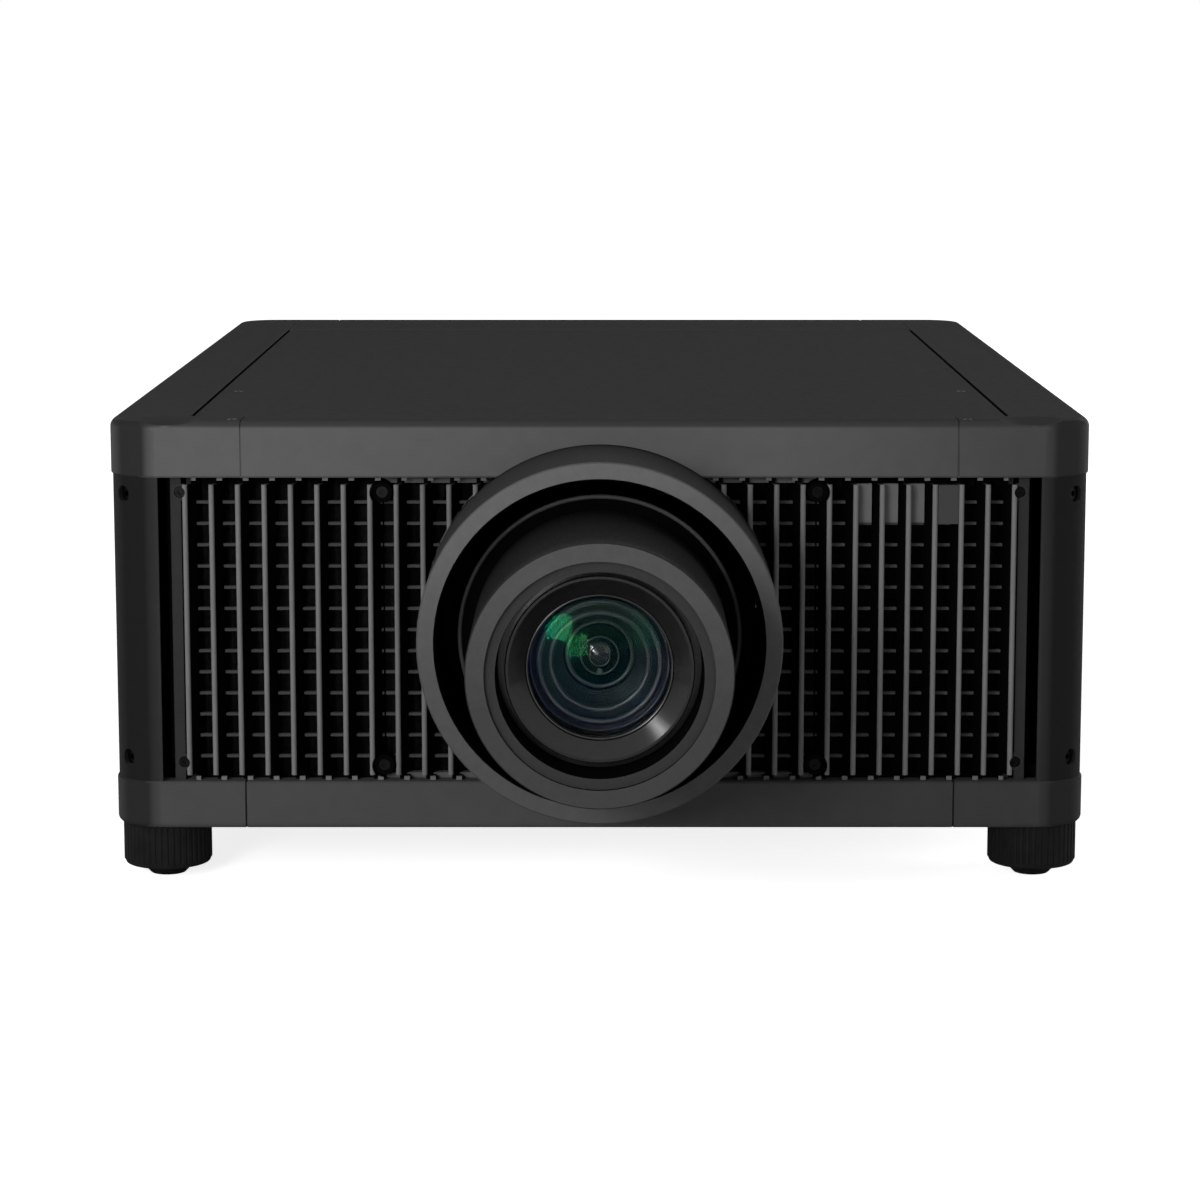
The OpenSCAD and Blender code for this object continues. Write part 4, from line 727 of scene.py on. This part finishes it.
CONTACT_PITCH = 0.00102
boxes("network_contacts", [((ports_lo.x + 0.0629 + k * CONTACT_PITCH, ports_hi.y - 0.0105, PORTS_Z + 0.002),
                            (ports_lo.x + 0.0633 + k * CONTACT_PITCH, ports_hi.y - 0.003, PORTS_Z + 0.0024))
                           for k in range(8)], brass)
boxes("serial_insert", [((ports_lo.x + 0.1145, ports_hi.y - 0.0125, PORTS_Z - 0.0036),
                         (ports_lo.x + 0.1315, ports_hi.y - 0.002, PORTS_Z + 0.0036))],
      inlet_black)
PIN_PITCH, PIN_HALF, PIN_ROW_UP = 0.0027, 0.0004, 0.0014
for word, row_z, count in (("upper", PORTS_Z + PIN_ROW_UP, 5), ("lower", PORTS_Z - PIN_ROW_UP, 4)):
    pin_xs = [ports_lo.x + 0.123 + (k - (count - 1) / 2) * PIN_PITCH for k in range(count)]
    boxes(f"serial_pins_{word}", [((x - PIN_HALF, ports_hi.y - 0.0021, row_z - PIN_HALF),
                                   (x + PIN_HALF, ports_hi.y - 0.0004, row_z + PIN_HALF)) for x in pin_xs],
          brass)
for name, x in (("first_jack_nut", 0.15), ("second_jack_nut", 0.166)):
    jack_nut(name, ports_lo.x + x)


# ---- strips in the seams of the bars ----

SEAM_FROM_BAR = 0.0005                              # from a bar's end to the middle of its seam
STRIP_HALF = 0.00045                                # half a strip's width
STRIP_DEEP = 0.0018                                 # depth of a strip's back under the skin
STRIP_RUN = 0.012                                   # how far a strip runs back over a rounded edge


def seam_outline(off, z0, z1, round_low, round_high):
    """Points (depth, z) that follow a bar's skin, off metres under it."""
    turns = [math.radians(9 * k) for k in range(11)]
    points = [(off, z0)]
    if round_low:
        points = [(STRIP_RUN, z0 + off)]
        points += [(round_low - (round_low - off) * math.sin(a),
                    z0 + round_low - (round_low - off) * math.cos(a)) for a in turns]
    if not round_high:
        return points + [(off, z1)]
    points += [(round_high - (round_high - off) * math.cos(a),
                z1 - round_high + (round_high - off) * math.sin(a)) for a in turns]
    return points + [(STRIP_RUN, z1 - off)]


def seam_strip(name, x, face_y, way, bar_z, rounding, mat, skin):
    """A strip in a bar's seam at x, skin metres under it. way is 1 where the bar looks forwards, -1 backwards."""
    ring = seam_outline(skin, *bar_z, *rounding) + seam_outline(STRIP_DEEP, *bar_z, *rounding)[::-1]
    n = len(ring)
    verts = [(x + dx, face_y + way * d, z) for dx in (-STRIP_HALF, STRIP_HALF) for d, z in ring]
    faces = [(i, (i + 1) % n, n + (i + 1) % n, n + i) for i in range(n)]
    faces += [(i, i + 1, n - 2 - i, n - 1 - i) for i in range(n // 2 - 1)]
    faces += [(n + i + 1, n + i, 2 * n - 1 - i, 2 * n - 2 - i) for i in range(n // 2 - 1)]
    strip = add(name, verts, faces, "case", mat, 30)
    mend(strip, lambda bm: bmesh.ops.recalc_face_normals(bm, faces=bm.faces))


# row of bars, material, slot, radius of its lower and upper edge, depth of the strip under the skin
for row, mat, slot, rounding, skin in (("top", coating, "case_coating", (0, 0.0055), 0.0006),
                                       ("bottom", dead_black, "lens_black", (0.0035, 0), 0.0003)):
    for end, way in (("front", 1), ("rear", -1)):
        bar_lo, bar_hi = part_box(f"{row}_{end}_bar")
        for side, x in (("left", bar_lo.x - SEAM_FROM_BAR), ("right", bar_hi.x + SEAM_FROM_BAR)):
            seam_strip(f"{row}_{end}_{side}_strip", x, bar_lo.y if way > 0 else bar_hi.y, way,
                       (bar_lo.z, bar_hi.z), rounding, mat, skin)


# ---- near-black air filters behind the side vents and the front grilles, partly painted shade ----

PANEL_WALL = 0.003                                  # thickness of the side panels
PLEAT = 0.004                                       # pitch of the folds


def side_filter(name, side, y0, y1):
    """A folded filter sheet on the inner face of a side panel, folds running upwards."""
    clear, near, far, half_sheet, margin = 0.0004, 0.0012, 0.0072, 0.0006, 0.016
    wall = panels_hi.x - PANEL_WALL - clear
    z0, z1 = panels_lo.z + margin, panels_hi.z - margin
    folds = int((y1 - y0) / PLEAT)
    line = [(wall - (far if k % 2 else near), y0 + (y1 - y0) * k / folds) for k in range(folds + 1)]
    ring = [(x + half_sheet, y) for x, y in line] + [(x - half_sheet, y) for x, y in reversed(line)]
    verts = [(side * x, y, z) for z in (z0, z1) for x, y in ring]
    n = len(ring)
    faces = [(i, (i + 1) % n, n + (i + 1) % n, n + i) for i in range(n)]
    faces += [(i, n - 1 - i, n - 2 - i, i + 1) for i in range(n // 2 - 1)]
    faces += [(n + i + 1, 2 * n - 2 - i, 2 * n - 1 - i, n + i) for i in range(n // 2 - 1)]
    if side < 0:
        faces = [f[::-1] for f in faces]
    return add(name, verts, faces, "case", filter_shade_cloth, 20)


def front_filter(name, side):
    """A folded sheet behind a front grille, cut out round the shroud's flange."""
    sheet_y, fold_depth = grille_hi.y + 0.0034, 0.0012
    margin, cut_margin = 0.0004, 0.0005             # from the grille's edge to the sheet's, and to the cut
    flange_r = (shroud_hi.x - shroud_lo.x) / 2 + 0.0008
    inner, outer = 0.07, max(abs(grille_lo.x), abs(grille_hi.x)) - 0.001
    count = int((outer - inner) / PLEAT * 2)
    verts, faces = [], []
    for k in range(count + 1):
        x = inner + (outer - inner) * k / count
        half = math.sqrt(max(0, flange_r ** 2 - x ** 2))
        low, high = max(grille_lo.z + cut_margin, AXIS_Z - half), min(grille_hi.z - cut_margin, AXIS_Z + half)
        y = sheet_y + (fold_depth if k % 2 else 0)
        verts += [(side * x, y, z) for z in (grille_lo.z + margin, low, high, grille_hi.z - margin)]
        if k:
            for row in (0, 2):
                a, b = 4 * (k - 1) + row, 4 * k + row
                faces.append((a, b, b + 1, a + 1) if side > 0 else (a, a + 1, b + 1, b))
    cloth = add(name, verts, faces, "case", filter_shade_cloth, 20)

    def join(bm):
        bmesh.ops.remove_doubles(bm, verts=bm.verts, dist=1e-5)
        bmesh.ops.dissolve_degenerate(bm, edges=bm.edges, dist=1e-6)

    mend(cloth, join)
    thick = cloth.modifiers.new("thickness", "SOLIDIFY")
    thick.thickness = 0.0004
    thick.offset = 0


middle = (panels_lo.y + panels_hi.y) / 2
END_GAP, MIDDLE_GAP = 0.03, 0.008
for side, word in ((-1, "left"), (1, "right")):
    side_filter(word + "_front_filter", side, panels_lo.y + END_GAP, middle - MIDDLE_GAP)
    side_filter(word + "_rear_filter", side, middle + MIDDLE_GAP, panels_hi.y - END_GAP)
front_filter("left_intake_filter", -1)
front_filter("right_intake_filter", 1)
